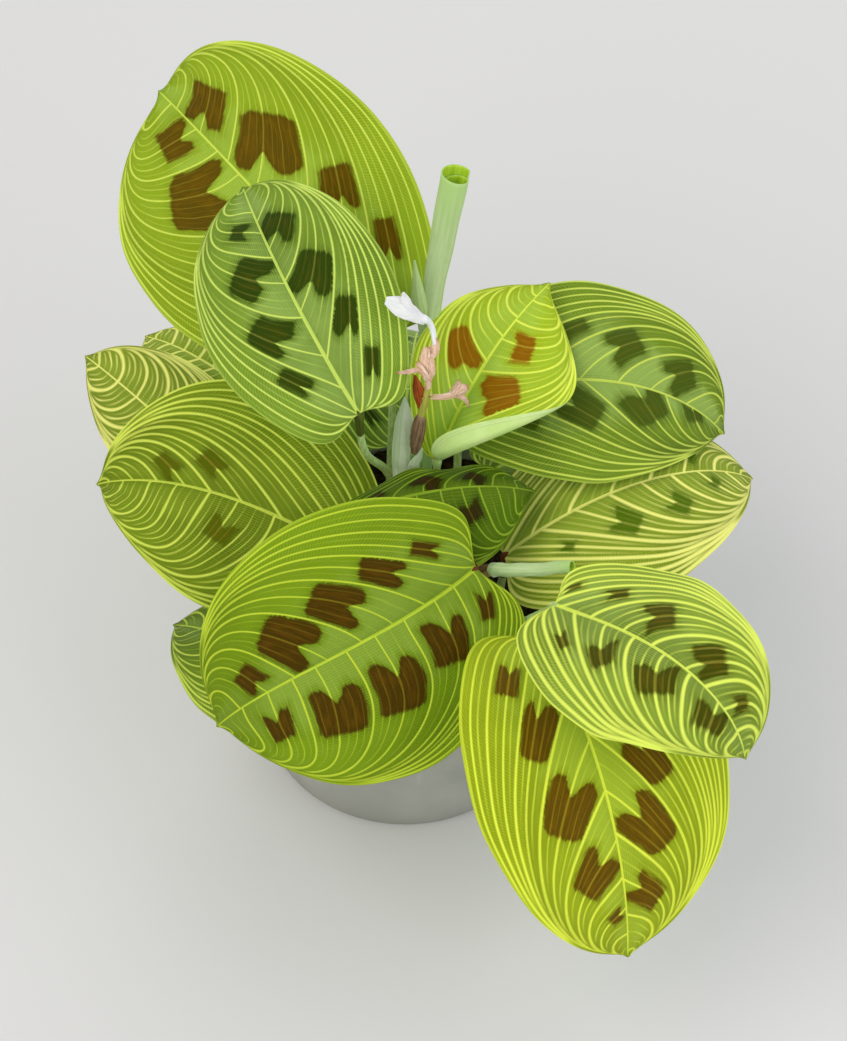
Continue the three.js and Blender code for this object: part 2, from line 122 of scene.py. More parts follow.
def node(tree, kind, *inputs, out=0, **settings):
    """Adds one shader node. Each input is a number, a colour or another node's output."""
    made = tree.nodes.new("ShaderNode" + kind)
    for name, value in settings.items():
        setattr(made, name, value)
    for socket, value in zip(made.inputs, inputs):
        if isinstance(value, bpy.types.NodeSocket):
            tree.links.new(value, socket)
        elif value is not None:
            socket.default_value = value
    return made.outputs[out]


def math(tree, operation, *inputs):
    """One arithmetic step on numbers."""
    return node(tree, "Math", *inputs, operation=operation)


def step(tree, value, low, high, to_low=0.0, to_high=1.0):
    """A soft step: to_low where value is below low, to_high where it is above high."""
    return node(tree, "MapRange", value, low, high, to_low, to_high, interpolation_type="SMOOTHSTEP")


def mix(tree, share, first, second):
    """The first colour where share is 0 and the second where it is 1."""
    made = tree.nodes.new("ShaderNodeMix")
    made.data_type = "RGBA"
    for socket, value in zip((made.inputs[0], made.inputs[6], made.inputs[7]), (share, first, second)):
        if isinstance(value, bpy.types.NodeSocket):
            tree.links.new(value, socket)
        else:
            socket.default_value = value
    return made.outputs[2]


def grain(tree, scale, detail=3, roughness=0.5, vector=None):
    """Cloudy noise from 0 to 1, in cells of 1 / scale metres unless it is given a vector."""
    if vector is None:
        vector = node(tree, "TexCoord", out=3)
    return node(tree, "TexNoise", vector, None, scale, detail, roughness)


def place(name, points, faces, materials, replaced, uv=None, facets=None, values=None):
    """Makes a closed mesh from points in millimetres, sets it down at its real size and joins it to
    the plant. facets gives each face's material, and values one number for each point under each
    name."""
    mesh = bpy.data.meshes.new(name)
    mesh.from_pydata((np.asarray(points) * MM).tolist(), [], faces)
    for material in materials:
        mesh.materials.append(material)
    mesh.polygons.foreach_set("use_smooth", np.ones(len(mesh.polygons), bool))
    if facets is not None:
        mesh.polygons.foreach_set("material_index", facets)
    if uv is not None:
        corner = np.zeros(len(mesh.loops), int)
        mesh.loops.foreach_get("vertex_index", corner)
        layer = mesh.uv_layers.new(name="surface")
        layer.data.foreach_set("uv", np.asarray(uv)[corner].ravel())
    for key, numbers in (values or {}).items():
        mesh.attributes.new(key, "FLOAT", "POINT").data.foreach_set("value", numbers)
    mesh.validate()
    mesh.update()
    piece = bpy.data.objects.new(name, mesh)
    bpy.context.scene.collection.objects.link(piece)
    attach(piece, "root")
    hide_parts(*replaced)
    return piece


def lathe(name, profile, materials, replaced, segments=160):
    """Turns a closed profile of (radius, height) points round the pot's axis."""
    profile = np.asarray(profile, float)
    turn = np.linspace(0, 2 * np.pi, segments, endpoint=False)
    points = np.stack([profile[:, None, 0] * np.cos(turn), profile[:, None, 0] * np.sin(turn),
                       np.broadcast_to(profile[:, None, 1], (len(profile), segments))], -1)
    index = np.arange(len(profile) * segments).reshape(len(profile), segments)
    ahead = np.roll(index, -1, 1)
    up, up_ahead = np.roll(index, -1, 0), np.roll(ahead, -1, 0)
    quads = np.stack([index, ahead, up_ahead, up], -1).reshape(-1, 4)
    return place(name, points.reshape(-1, 3), quads.tolist(), materials, replaced)


def pot_plastic():
    """Light grey moulded plastic: faint mottling, fine orange peel and a few long soft scuffs."""
    material, tree, shader = finish("pot_plastic", 0.5, 0.35)
    mottle = step(tree, grain(tree, 38, 4), 0.35, 0.7)
    colour = mix(tree, mottle, paint("a1a299"), paint("afb0a6"))
    where = node(tree, "TexCoord", out=3)
    long_way = node(tree, "Mapping", where, None, None, (160, 160, 12), vector_type="POINT")
    scuff = step(tree, grain(tree, 1, 2, vector=long_way), 0.66, 0.74)
    colour = mix(tree, math(tree, "MULTIPLY", scuff, 0.25), colour, paint("c9c9c2"))
    height = node(tree, "SeparateXYZ", where, out=2)
    # The lowest 20 mm of the pot are painted greyer and browner towards the floor.
    browner_near_floor = step(tree, height, 0.0, 0.02, 0.35, 0.0)
    colour = mix(tree, browner_near_floor, colour, paint("8f8c80"))
    tree.links.new(colour, shader.inputs["Base Color"])
    tree.links.new(step(tree, mottle, 0, 1, 0.42, 0.56), shader.inputs["Roughness"])
    peel = node(tree, "Bump", 0.12, 0.0002, None, grain(tree, 900, 2))
    tree.links.new(peel, shader.inputs["Normal"])
    return material


def pot_side(height):
    """Outer radius of the pot's wall at a height."""
    return pot_foot + (pot_rim - pot_foot) * height / pot_height


bend = np.linspace(0, np.pi, 13)
lip = pot_wall / 2
rim_arc = np.stack([pot_rim - lip + lip * np.cos(bend), pot_height - lip + lip * np.sin(bend)], -1)
side_rows = np.linspace(foot_height, pot_height - 2 * lip, 24)
inside_rows = side_rows[::-1][:-2]
pot_profile = np.vstack([
    [[pin_hole, 0], [floor_step, 0], [pot_foot - foot_inset, 0]],
    [[pot_foot - 1.6, 0.25], [pot_foot - 0.5, 1]],
    np.stack([pot_side(side_rows), side_rows], -1),
    rim_arc,
    np.stack([pot_side(inside_rows) - pot_wall, inside_rows], -1),
    [[pot_side(pot_floor) - pot_wall - 1.5, pot_floor], [floor_step, pot_floor], [pin_hole, pot_floor]],
])
pot = lathe("pot_body", pot_profile, [pot_plastic()], ["pot"])
for angle in 2 * np.pi * (np.arange(drain_count) + 0.5) / drain_count:
    at = np.array([np.cos(angle), np.sin(angle), 0]) * drain_ring * MM
    bpy.ops.mesh.primitive_cylinder_add(vertices=40, radius=drain_radius * MM,
                                        depth=4 * pot_floor * MM, location=at)
    drill = bpy.context.object
    hole = pot.modifiers.new("drain", "BOOLEAN")
    hole.object = drill
    hole.solver = "EXACT"
    bpy.context.view_layer.objects.active = pot
    bpy.ops.object.modifier_apply(modifier=hole.name)
    bpy.data.objects.remove(drill)


# ---- Soil ------------------------------------------------------------------------------------
# Dark peat compost, filled to just below the rim and watered in: a crumbly surface that sinks a
# little towards the wall, with some loose crumbs and a few white grains of perlite on it.

soil_top, soil_floor, soil_inset = 100, 4.3, 3
soil_edge, foot_radius = pot_side(98) - soil_inset, pot_side(soil_floor) - soil_inset
soil_dip, edge_sink = 0.9, 1.2


def compost():
    """Almost black brown, lighter on dry crumbs, rough all over."""
    material, tree, shader = finish("compost", 0.95, 0.15)
    crumbs = grain(tree, 420, 6, 0.65)
    colour = mix(tree, step(tree, crumbs, 0.35, 0.7), paint("1d140d"), paint("4a3626"))
    fibre = step(tree, grain(tree, 130, 5, 0.7), 0.58, 0.66)
    colour = mix(tree, math(tree, "MULTIPLY", fibre, 0.5), colour, paint("6b5138"))
    tree.links.new(colour, shader.inputs["Base Color"])
    tree.links.new(node(tree, "Bump", 0.8, 0.0012, None, crumbs), shader.inputs["Normal"])
    return material


def soil_level(share):
    """Height of the settled soil at a share of its radius: it sinks to the wall with the fourth
    power of the share."""
    return soil_top - soil_dip - edge_sink * share ** 4


rng = np.random.default_rng(4)
compost_finish = compost()
rings, spokes = 130, 220
out, turn = np.meshgrid(np.linspace(0, 1, rings + 1)[1:], np.linspace(0, 2 * np.pi, spokes, endpoint=False),
                        indexing="ij")
east, north = out * soil_edge * np.cos(turn), out * soil_edge * np.sin(turn)
crumble = np.zeros_like(east)
for size, height in ((9, 0.5), (4.5, 0.45), (2.2, 0.35), (1.2, 0.25)):
    heading, phase = rng.uniform(0, 2 * np.pi, (2, 9))
    for h, p in zip(heading, phase):
        crumble += height / 3 * np.sin(2 * np.pi * (east * np.cos(h) + north * np.sin(h)) / size + p)
level = soil_level(out) + np.clip(crumble, -1.4, soil_dip)
grid = np.stack([east, north, level], -1).reshape(-1, 3)
index = np.arange(rings * spokes).reshape(rings, spokes)
ahead = np.roll(index, -1, 1)
quads = np.stack([index[:-1], index[1:], ahead[1:], ahead[:-1]], -1).reshape(-1, 4).tolist()
middle, foot_start = rings * spokes, rings * spokes + 2
foot = np.stack([foot_radius * np.cos(turn[0]), foot_radius * np.sin(turn[0]),
                 np.full(spokes, soil_floor)], -1)
points = np.vstack([grid, [[0, 0, level[0].mean()]], [[0, 0, soil_floor]], foot])
rim, foot_ring = index[-1], foot_start + np.arange(spokes)
tops = [(middle, a, b) for a, b in zip(index[0].tolist(), ahead[0].tolist())]
sides = np.stack([rim, foot_ring, np.roll(foot_ring, -1), np.roll(rim, -1)], -1).tolist()
unders = [(middle + 1, b, a) for a, b in zip(foot_ring.tolist(), np.roll(foot_ring, -1).tolist())]
place("soil_fill", points, tops + quads + sides + unders, [compost_finish], ["soil"])


def unit(vectors):
    """Vectors along the last axis, made one long."""
    return vectors / np.linalg.norm(vectors, axis=-1, keepdims=True)


def pebbles(name, count, sizes, seed, materials):
    """Loose grains: copies of a twenty-faced lump, each squashed, made uneven and set on the soil by its own
    draw.
    """
    rng = np.random.default_rng(seed)
    g = (1 + 5 ** 0.5) / 2          # the golden ratio
    ball = unit(np.array([(-1, g, 0), (1, g, 0), (-1, -g, 0), (1, -g, 0), (0, -1, g), (0, 1, g),
                          (0, -1, -g), (0, 1, -g), (g, 0, -1), (g, 0, 1), (-g, 0, -1), (-g, 0, 1)]))
    skin = np.array([(0, 11, 5), (0, 5, 1), (0, 1, 7), (0, 7, 10), (0, 10, 11), (1, 5, 9), (5, 11, 4),
                     (11, 10, 2), (10, 7, 6), (7, 1, 8), (3, 9, 4), (3, 4, 2), (3, 2, 6), (3, 6, 8),
                     (3, 8, 9), (4, 9, 5), (2, 4, 11), (6, 2, 10), (8, 6, 7), (9, 8, 1)])
    away = (soil_edge - 3) * np.sqrt(rng.uniform(0, 1, count))
    turn = rng.uniform(0, 2 * np.pi, count)
    size = rng.uniform(*sizes, count)
    lumps = ball[None] * rng.uniform(0.75, 1.25, (count, 12, 1)) * rng.uniform(0.6, 1.2, (count, 1, 3))
    lumps *= size[:, None, None]
    height = soil_level(away / soil_edge) + 0.2 * size
    at = np.stack([away * np.cos(turn), away * np.sin(turn), height], -1)
    points = (lumps + at[:, None]).reshape(-1, 3)
    faces = (skin[None] + 12 * np.arange(count)[:, None, None]).reshape(-1, 3)
    place(name, points, faces.tolist(), materials, ["soil"])


def perlite():
    """Chalk-white puffed glass grains, dulled by the compost."""
    material, tree, shader = finish("perlite", 0.9, 0.2)
    stained = step(tree, grain(tree, 500, 3), 0.45, 0.75)
    tree.links.new(mix(tree, stained, paint("e6e1d6"), paint("9c8b74")), shader.inputs["Base Color"])
    return material


pebbles("soil_crumbs", 420, (0.6, 1.7), 7, [compost_finish])
pebbles("soil_perlite", 46, (0.5, 1.3), 8, [perlite()])


# ---- Leaf blades -----------------------------------------------------------------------------
# Thin fleshy oval blades. Every blade hangs from its midrib: side veins leave the midrib, bend
# towards the tip and run on along the margin, and the tissue between them is slightly quilted.
# On most blades two rows of brown blotches, each between two main veins, flank the midrib.

blade_thickness, quilt_height, groove_depth = 0.55, 0.4, 0.5
drip_tip, tip_share, tip_breadth = 4, 0.04, 3
hem_radius, hem_peak, lobe_peak, wave_shift = 3, 0.15, 0.05, 1.3
tip_sharpening, tip_onset = 0.6, 6
blotch_reach, band_reach = 6, 20
row_density, column_density, groove_width = 1.1, 0.7, 1.6


def form(**given):
    """One leaf, in millimetres and degrees. base is where the blade meets its stalk and root where
    the stalk leaves the soil; heading and pitch aim the midrib at the base, and swing and droop
    turn it up to the tip; roll and twist lean the blade about it. camber curls each half, fold
    lifts it at the base and at the tip, and taper, rise, skew and lobe shape the outline. left and
    right say how the halves are marked: the square and the power that shape the veins, then each
    blotch with its place along and across the blade and its size, 0 for none."""
    usual = dict(bend=1.5, lobe=0.07, rise=0.5, wave=1.1, waves=3, phase=0, hem=0, hem_turn=0,
                 notch=0.75, hook=0, lift=0.25)
    return usual | given


unmarked = (1.5, 0.5, [(0.16, 0.5, 0.6), (0.33, 0.43, 0.7), (0.53, 0.36, 0), (0.73, 0.28, 0)])
common = (1.6, 0.5, [(0.16, 0.5, 0.7), (0.33, 0.43, 1), (0.53, 0.36, 1), (0.73, 0.28, 0.8)])
leaves = {
    "leaf_back_tall": form(
        base=(-4, 53, 180), heading=142, pitch=27, droop=25, swing=-15, roll=-25, twist=-25,
        length=143, width=118, camber=5, fold=(-5, 15), taper=0.45, skew=0.05,
        root=(-6, 27), look="yellow_green",
        left=(1.5, 0.6, [(0.22, 0.5, 1), (0.45, 0.43, 1), (0.69, 0.33, 1.15), (0.86, 0.23, 0.6)]),
        right=(1.3, 0.6, [(0.21, 0.57, 0.8), (0.41, 0.48, 0.9), (0.645, 0.33, 1.2),
                          (0.84, 0.28, 0.8)])),
    "leaf_upper_left": form(
        base=(-16, -12, 205), heading=129, pitch=32, droop=45, swing=-25, roll=-15, twist=-10,
        length=111, width=78, camber=40, fold=(15, 15), taper=0.65, skew=0,
        root=(-3, 20), lift=0.6, look="grey_green",
        left=(1.25, 0.5, [(0.2, 0.47, 1), (0.37, 0.42, 1.15), (0.6, 0.33, 1.15), (0.79, 0.3, 0.4)]),
        right=(1.2, 0.75, [(0.14, 0.5, 0.9), (0.31, 0.43, 1.3), (0.51, 0.3, 1.5), (0.73, 0.24, 0.9)])),
    "leaf_behind_left": form(
        base=(-53, 55, 133), heading=143, pitch=14, droop=40, swing=-5, roll=0, twist=0, length=73,
        width=46, camber=35, fold=(5, 5), taper=0.55, skew=0,
        root=(-26, 26), hook=0.7, look="pale_olive", slot="leaf_grey_green",
        left=unmarked, right=unmarked),
    "leaf_far_left": form(
        base=(-53, -1, 135), heading=145, pitch=19, droop=30, swing=-15, roll=-5, twist=-30,
        length=106, width=64, camber=60, fold=(5, 5), taper=0.7, skew=-0.05, bend=1.75,
        root=(-46, -6), hook=0.3, look="pale_olive",
        left=unmarked, right=unmarked),
    "leaf_left": form(
        base=(-22, -21, 135), heading=159, pitch=20, droop=50, swing=5, roll=-25, twist=0, length=107,
        width=95, camber=25, fold=(0, 35), taper=0.75, skew=-0.05, bend=1.75,
        root=(-22, -19), look="olive",
        left=(2.6, 0.36, [(0.2, 0.45, 0), (0.46, 0.34, 0.5), (0.68, 0.3, 0)]),
        right=(1.0, 1.0, [(0.18, 0.45, 0), (0.4, 0.33, 0), (0.58, 0.25, 0.65), (0.73, 0.21, 0.65)])),
    "leaf_front": form(
        base=(28, -42, 151), heading=-130, pitch=3, droop=55, swing=-50, roll=-45, twist=-5,
        length=121, width=108, camber=15, fold=(20, 5), taper=0.6, skew=0, bend=1.75,
        root=(26, -36), look="fresh_green",
        left=(3.5, 0.5, [(0.07, 0.5, 0.5), (0.21, 0.39, 0.95), (0.42, 0.4, 1.05), (0.63, 0.38, 1.05),
                         (0.81, 0.36, 0.5)]),
        right=(1.15, 0.6, [(0.165, 0.5, 0.65), (0.32, 0.43, 1.1), (0.48, 0.37, 1.1),
                           (0.655, 0.3, 1.15), (0.82, 0.21, 0.5)])),
    "leaf_hanging": form(
        base=(51, -69, 143), heading=-67, pitch=15, droop=95, swing=-10, roll=-10, twist=0, length=137,
        width=106, camber=20, fold=(5, 5), taper=0.65, skew=0.05, bend=1,
        root=(40, -30), via=((44, -39, 117), (54, -41, 117)), look="lime_green",
        left=(1.0, 0.85, [(0.12, 0.5, 0.8), (0.28, 0.45, 1.1), (0.46, 0.38, 1.2), (0.635, 0.28, 1.45),
                          (0.81, 0.25, 0.7)]),
        right=(1.0, 0.65, [(0.16, 0.55, 0.8), (0.32, 0.42, 1.3), (0.53, 0.35, 1.35),
                           (0.72, 0.28, 0.95), (0.86, 0.17, 0.2)])),
    "leaf_front_right": form(
        base=(56, -74, 169), heading=-40, pitch=21, droop=95, swing=-5, roll=5, twist=5, length=101,
        width=77, camber=45, fold=(15, 10), taper=0.7, skew=-0.05, bend=2.5,
        root=(29, -47), via=((26, -49, 113), (60, -48, 134)), look="striped",
        left=(1.25, 0.55, [(0.05, 0.5, 0.4), (0.22, 0.42, 0.6), (0.42, 0.31, 0.8), (0.66, 0.27, 0.85),
                           (0.83, 0.28, 0.3)]),
        right=(1.5, 0.57, [(0.17, 0.46, 0.5), (0.34, 0.35, 0.75), (0.57, 0.3, 0.9),
                           (0.8, 0.27, 0.65)])),
    "leaf_upper_right": form(
        base=(22, 32, 166), heading=6, pitch=17, droop=70, swing=-10, roll=20, twist=5, length=115,
        width=86, camber=25, fold=(10, 10), taper=0.65, skew=0,
        root=(21, 20), look="deep_green",
        left=(1.1, 0.72, [(0.2, 0.5, 0.9), (0.4, 0.5, 0.95), (0.58, 0.38, 1), (0.77, 0.34, 0.8)]),
        right=(1.1, 0.75, [(0.24, 0.45, 0.4), (0.43, 0.33, 1.05), (0.67, 0.23, 1.05),
                           (0.87, 0.1, 0.35)])),
    "leaf_young": form(
        base=(13, 6, 159), heading=61, pitch=38, droop=25, swing=-15, roll=5, twist=10, length=81,
        width=64, camber=10, fold=(66, -20), taper=0.6, skew=-0.15, lobe=0.02, rise=0.55, hem=16,
        hem_turn=140,
        root=(13, 7), look="young", notch=0.3,
        left=(1.5, 0.55, [(0.31, 0.48, 0), (0.53, 0.48, 1.6), (0.74, 0.45, 0)]),
        right=(1.4, 0.55, [(0.15, 0.4, 0), (0.4, 0.38, 1.6), (0.7, 0.28, 0.65), (0.93, 0.2, 0)])),
    "leaf_right": form(
        base=(40, -14, 124), heading=15, pitch=41, droop=85, swing=10, roll=5, twist=5, length=117,
        width=83, camber=25, fold=(5, 5), taper=0.75, skew=-0.1, bend=1.25,
        root=(39, -14), look="pale_olive",
        left=(1.2, 0.7, [(0.16, 0.5, 0), (0.36, 0.43, 0.6), (0.56, 0.36, 0.6), (0.75, 0.28, 0.4)]),
        right=(1.2, 0.65, [(0.22, 0.33, 0.3), (0.43, 0.35, 0.8), (0.63, 0.35, 0.55),
                           (0.8, 0.25, 0.2)])),
    "leaf_folded_small": form(
        base=(-18, -24, 164), heading=14, pitch=10, droop=40, swing=0, roll=10, twist=0, length=70,
        width=54, camber=30, fold=(-25, -15), taper=0.55, skew=-0.35, wave=3, waves=2, phase=200,
        # Its look is painted shade: the greens deepened for a leaf that lies in the shade of the others.
        root=(-14, -20), look="dark",
        left=(1.6, 0.5, [(0.15, 0.4, 0.5), (0.43, 0.3, 1), (0.68, 0.3, 0.7)]),
        right=(1.6, 0.5, [(0.2, 0.4, 0.3), (0.42, 0.4, 0.3), (0.64, 0.3, 0.8), (0.82, 0.2, 0)])),
    "leaf_low_left": form(
        base=(-28, -70, 116), heading=151, pitch=2, droop=35, swing=-5, roll=-5, twist=5, length=75,
        width=66, camber=25, fold=(0, 20), taper=0.85, skew=0.1, bend=1.75,
        root=(-16, -40), hook=-0.3, look="deep_green",
        left=unmarked, right=unmarked),
    "leaf_back_low": form(
        base=(-2, 44, 124), heading=82, pitch=18, droop=65, swing=5, roll=0, twist=0, length=82,
        width=70, camber=30, fold=(5, 10), taper=0.6, skew=0,
        root=(-3, 39), hook=0.3, look="grey_green",
        left=common, right=common),
    "leaf_back_right": form(
        base=(34, 28, 126), heading=20, pitch=20, droop=55, swing=5, roll=0, twist=0, length=92,
        width=66, camber=30, fold=(5, 10), taper=0.6, skew=0,
        root=(34, 28), look="deep_green",
        left=common, right=common),
}


def directions(leaf, u):
    """Along the midrib, sideways and out of the blade's face, at share u of the midrib: the pitch
    falls by droop times u to the power bend, the heading turns by swing times u, and both side
    directions lean by roll plus twist times u about the midrib."""
    pitch = np.radians(leaf["pitch"] - leaf["droop"] * u ** leaf["bend"])
    heading = np.radians(leaf["heading"] + leaf["swing"] * u)
    lean = np.radians(leaf["roll"] + leaf["twist"] * u)[..., None]
    along = np.stack([np.cos(pitch) * np.cos(heading), np.cos(pitch) * np.sin(heading),
                      np.sin(pitch)], -1)
    level = np.stack([-np.sin(heading), np.cos(heading), 0 * heading], -1)
    above = np.cross(along, level)
    return (along, level * np.cos(lean) + above * np.sin(lean),
            above * np.cos(lean) - level * np.sin(lean))


def midrib(leaf, distance):
    """Points of the midrib at distances from the stalk: its direction added up in 60 steps, and
    straight on past both ends."""
    steps, beyond = 60, 12
    piece = leaf["length"] / steps
    along = directions(leaf, (np.arange(steps) + 0.5) / steps)[0]
    points = np.vstack([[0, 0, 0], np.cumsum(along * piece, 0)]) + leaf["base"]
    ends = directions(leaf, np.array([0.0, 1.0]))[0]
    points = np.vstack([points[0] - ends[0] * beyond, points, points[-1] + ends[1] * beyond])
    marks = np.r_[-beyond, np.arange(steps + 1) * piece, leaf["length"] + beyond]
    return np.stack([np.interp(distance, marks, points[:, k]) for k in range(3)], -1)


def half_width(leaf, x):
    """Half the blade's width at share x of its length: x to the power rise times (1 - x) to the
    power taper, scaled to half the width at its peak."""
    peak = leaf["rise"] / (leaf["rise"] + leaf["taper"])
    return leaf["width"] / 2 * (x / peak) ** leaf["rise"] * ((1 - x) / (1 - peak)) ** leaf["taper"]


def blade_sheet(leaf, x, y):
    """Points and normals of the middle of the blade at x, from 0 at the stalk to 1 at the tip, and
    y, from -1 to 1 across. Each cross line is an arc of constant curl that starts at the fold
    angle; the margin carries a wave, and lobes reach back past the stalk. A hem beyond the right
    margin turns up on its own small radius and then runs straight."""
    side_of = np.where(y >= 0, 1.0, -1.0)
    edge = half_width(leaf, x) * (1 + leaf["skew"] * side_of)
    hem = leaf["hem"] * x / hem_peak * np.exp(1 - x / hem_peak) * (y < 0)
    reach = np.minimum(np.abs(y) * (edge + hem), edge)
    beyond = np.abs(y) * (edge + hem) - reach
    lobed = x / lobe_peak * np.exp(1 - x / lobe_peak) * y * y
    distance = x * leaf["length"] - leaf["lobe"] * leaf["length"] * lobed
    u = np.clip(distance / leaf["length"], 0, 1)
    _, side, face = directions(leaf, u)
    curl = np.radians(leaf["camber"]) * reach / (leaf["width"] / 2)
    fold = np.radians(leaf["fold"][0] + (leaf["fold"][1] - leaf["fold"][0]) * u)
    chord = reach * np.sinc(curl / 2 / np.pi)
    climb, rim = fold - curl / 2, fold - curl
    turn = 2 * np.pi * leaf["waves"] * x + np.radians(leaf["phase"]) + np.where(y >= 0, 0, wave_shift)
    wave = leaf["wave"] * np.sin(turn) * np.abs(y) ** 3 * np.sin(np.pi * x)
    tip = drip_tip * np.exp(-(1 - x) / tip_share) * np.exp(-reach / tip_breadth)
    turned = np.minimum(beyond / hem_radius, np.radians(leaf["hem_turn"]))
    straight = beyond - hem_radius * turned
    out = hem_radius * np.sin(turned) + straight * np.cos(turned)
    rolled = hem_radius * (1 - np.cos(turned)) + straight * np.sin(turned)
    away = chord * np.cos(climb) + out * np.cos(rim) - rolled * np.sin(rim)
    rise = chord * np.sin(climb) + out * np.sin(rim) + rolled * np.cos(rim) + wave
    points = midrib(leaf, distance + tip) + (side_of * away)[..., None] * side + rise[..., None] * face
    slope = rim + turned
    normals = np.cos(slope)[..., None] * face - (side_of * np.sin(slope))[..., None] * side
    return points, np.where((y == 0)[..., None], face, normals)


def vein_index(x, a, square, power):
    """Which side vein passes a point: the share of the midrib where that vein starts. A vein is a
    line on which (1 - x) over (1 - a to the power square) to the given power stays the same. That
    power grows towards the tip, where the veins leave the midrib at a sharper angle. Past 1 they
    fan out from the stalk and the index is negative."""
    sharper = power * (1 + tip_sharpening * x ** tip_onset)
    line = (1 - x) / np.maximum(1 - a ** square, 1e-3) ** sharper
    return np.where(line <= 1, 1 - line, (np.maximum(line, 1) ** (-1 / power) - 1) * power)


def blade_marks(leaf, x, y, half, sheet, rng):
    """The drawing of one half: count, which is whole on every main vein and half past whole on the
    vein through each blotch; crowd, how fast count rises in a millimetre; run, the way along the
    vein from the midrib; how far inside a blotch and inside the pale band a point lies. A blotch
    is measured along the vein through its middle: it has two pointed lobes towards the midrib with
    a wedge between them, and an outer end that is cut off square to the vein."""
    square, power, blotches = half
    a = np.abs(y)
    index = vein_index(x, a, square, power)
    # The veins wander a little from their law.
    index = (index + 0.007 * np.sin(9 * index + 7 * a + rng.uniform(0, 6))
             + 0.004 * np.sin(23 * index + rng.uniform(0, 6)))
    places = np.array([(u, v) for u, v, _ in blotches])
    middles = vein_index(places[:, 0], places[:, 1], square, power)
    # Before the first blotch and past the last one the veins keep the pace of the nearest two.
    first, last = middles[1] - middles[0], middles[-1] - middles[-2]
    known = np.r_[middles[0] - 4 * first, middles, middles[-1] + 8 * last]
    count = np.interp(index, known, np.r_[-3.5, np.arange(len(middles)) + 0.5, len(middles) + 7.5])

    # The steps of the sheet from point to point turn the slope of count into one per millimetre.
    row, column = np.gradient(sheet, axis=0), np.gradient(sheet, axis=1)
    by_row, by_column = np.gradient(count)
    e, f, g = (row ** 2).sum(-1), (row * column).sum(-1), (column ** 2).sum(-1)
    steepness = g * by_row ** 2 - 2 * f * by_row * by_column + e * by_column ** 2
    slope = steepness / np.maximum(e * g - f * f, 1e-9)
    crowd = np.clip(np.sqrt(np.maximum(slope, 0)), 0.01, 3)

    width = leaf["width"] / 2
    run = np.hypot((x - np.clip(index, 0, 1)) * leaf["length"], a * width)
    cell = np.floor(count)
    vein_way = unit(row * by_column[..., None] - column * by_row[..., None])
    depth = np.full(x.shape, -float(blotch_reach))
    for k, (share, aside, size) in enumerate(blotches):
        if size == 0:
            continue
        near = np.unravel_index(np.argmin(np.hypot(x - share, a - aside)), x.shape)
        outward = sheet[near] - midrib(leaf, x[near] * leaf["length"])
        ahead = vein_way[near] * np.sign(vein_way[near] @ outward)
        along = (sheet - sheet[near]) @ ahead
        draw = rng.uniform(-1, 1, 4)
        across = count - k - 0.5 + 0.03 * draw[0]
        long = (0.02 + 0.13 * size) * (1 + 0.08 * draw[1]) * width
        wedge = np.clip(1 - np.abs(across + 0.04 * draw[2]) / (0.1 + 0.05 * size), 0, 1) ** 0.8
        shoulder = np.clip((np.abs(across) - 0.3) / 0.16, 0, 1) ** 1.2
        inner = along + long * (1.2 - leaf["notch"] * wedge - 0.4 * shoulder)
        outer = long * (1.0 - 0.25 * shoulder + 0.2 * draw[3] * across) - along
        sides = (0.07 + 0.31 * np.minimum(size, 1.2) - np.abs(across)) / crowd
        here = np.minimum(np.minimum(inner, outer), sides)
        depth = np.where(cell == k, np.maximum(depth, here), depth)
    middle = np.interp(count, np.arange(len(blotches)) + 0.5, places[:, 1])
    band = (middle + 0.1 - a) * width
    return (count, crowd, run, np.clip(depth, -blotch_reach, blotch_reach),
            np.clip(band, -band_reach, band_reach))


# The looks of the blades. outer is the ground and inner its streaks, band the ground along the
# midrib and halo the darker patches, also round the blotches; rust streaks the blotches. veins
# widens every vein, and fine is the strength of the fine ones.
looks = {
    "yellow_green": dict(slot="leaf_bright", outer="87a510", inner="8ca823", band="98b83e",
                         vein="d8ed5b", halo="7a9410", blotch="5a4602", rust="785804", veins=0.9, fine=0.6),
    "lime_green": dict(slot="leaf_bright", outer="94a80e", inner="90a41c", band="9bb430",
                       vein="e6f64a", halo="7f9208", blotch="5e4602", rust="7c5804", veins=1.15, fine=0.85),
    "fresh_green": dict(slot="leaf_bright", outer="6e8e08", inner="70901c", band="7d9b38",
                        vein="c2da3c", halo="5c7a08", blotch="443002", rust="644206", veins=0.85, fine=0.45),
    "young": dict(slot="leaf_bright", outer="9cb816", inner="9cbc2c", band="a6cc50",
                  vein="e8fa5c", halo="96ae10", blotch="8c5c02", rust="a07006", veins=1.1, fine=0.75),
    "grey_green": dict(slot="leaf_grey_green", outer="6c8e1e", inner="6c8c2c", band="82a04c",
                       vein="d0e86a", halo="48660e", blotch="283e04", rust="484806", veins=0.85, fine=0.6),
    "striped": dict(slot="leaf_grey_green", outer="84a02e", inner="789434", band="7e9c4c",
                    vein="e4f666", halo="566c16", blotch="3e4404", rust="604e08", veins=1.45, fine=1.0),
    "deep_green": dict(slot="leaf_grey_green", outer="5e8010", inner="6c8626", band="8caa55",
                       vein="cee25d", halo="48641a", blotch="445812", rust="545a12", veins=0.9, fine=0.6),
    "olive": dict(slot="leaf_olive", outer="647e08", inner="708a14", band="738c1a",
                  vein="dbec5e", halo="566c08", blotch="566404", rust="6c5c0a", veins=1.1, fine=0.9),
    "pale_olive": dict(slot="leaf_olive", outer="788e10", inner="74900e", band="7f9a22",
                       vein="f4f684", halo="587406", blotch="4c6a06", rust="5c700a", veins=1.5, fine=1.0),
    # dark is painted shade: every green, the veins too, deepened for the small folded leaf, which lies in
    # the shade of the others.
    "dark": dict(slot="leaf_grey_green", outer="426106", inner="4a680c", band="556f18",
                 vein="90ae30", halo="2e4a06", blotch="2a2406", rust="4a200a", veins=0.8, fine=0.5),
}
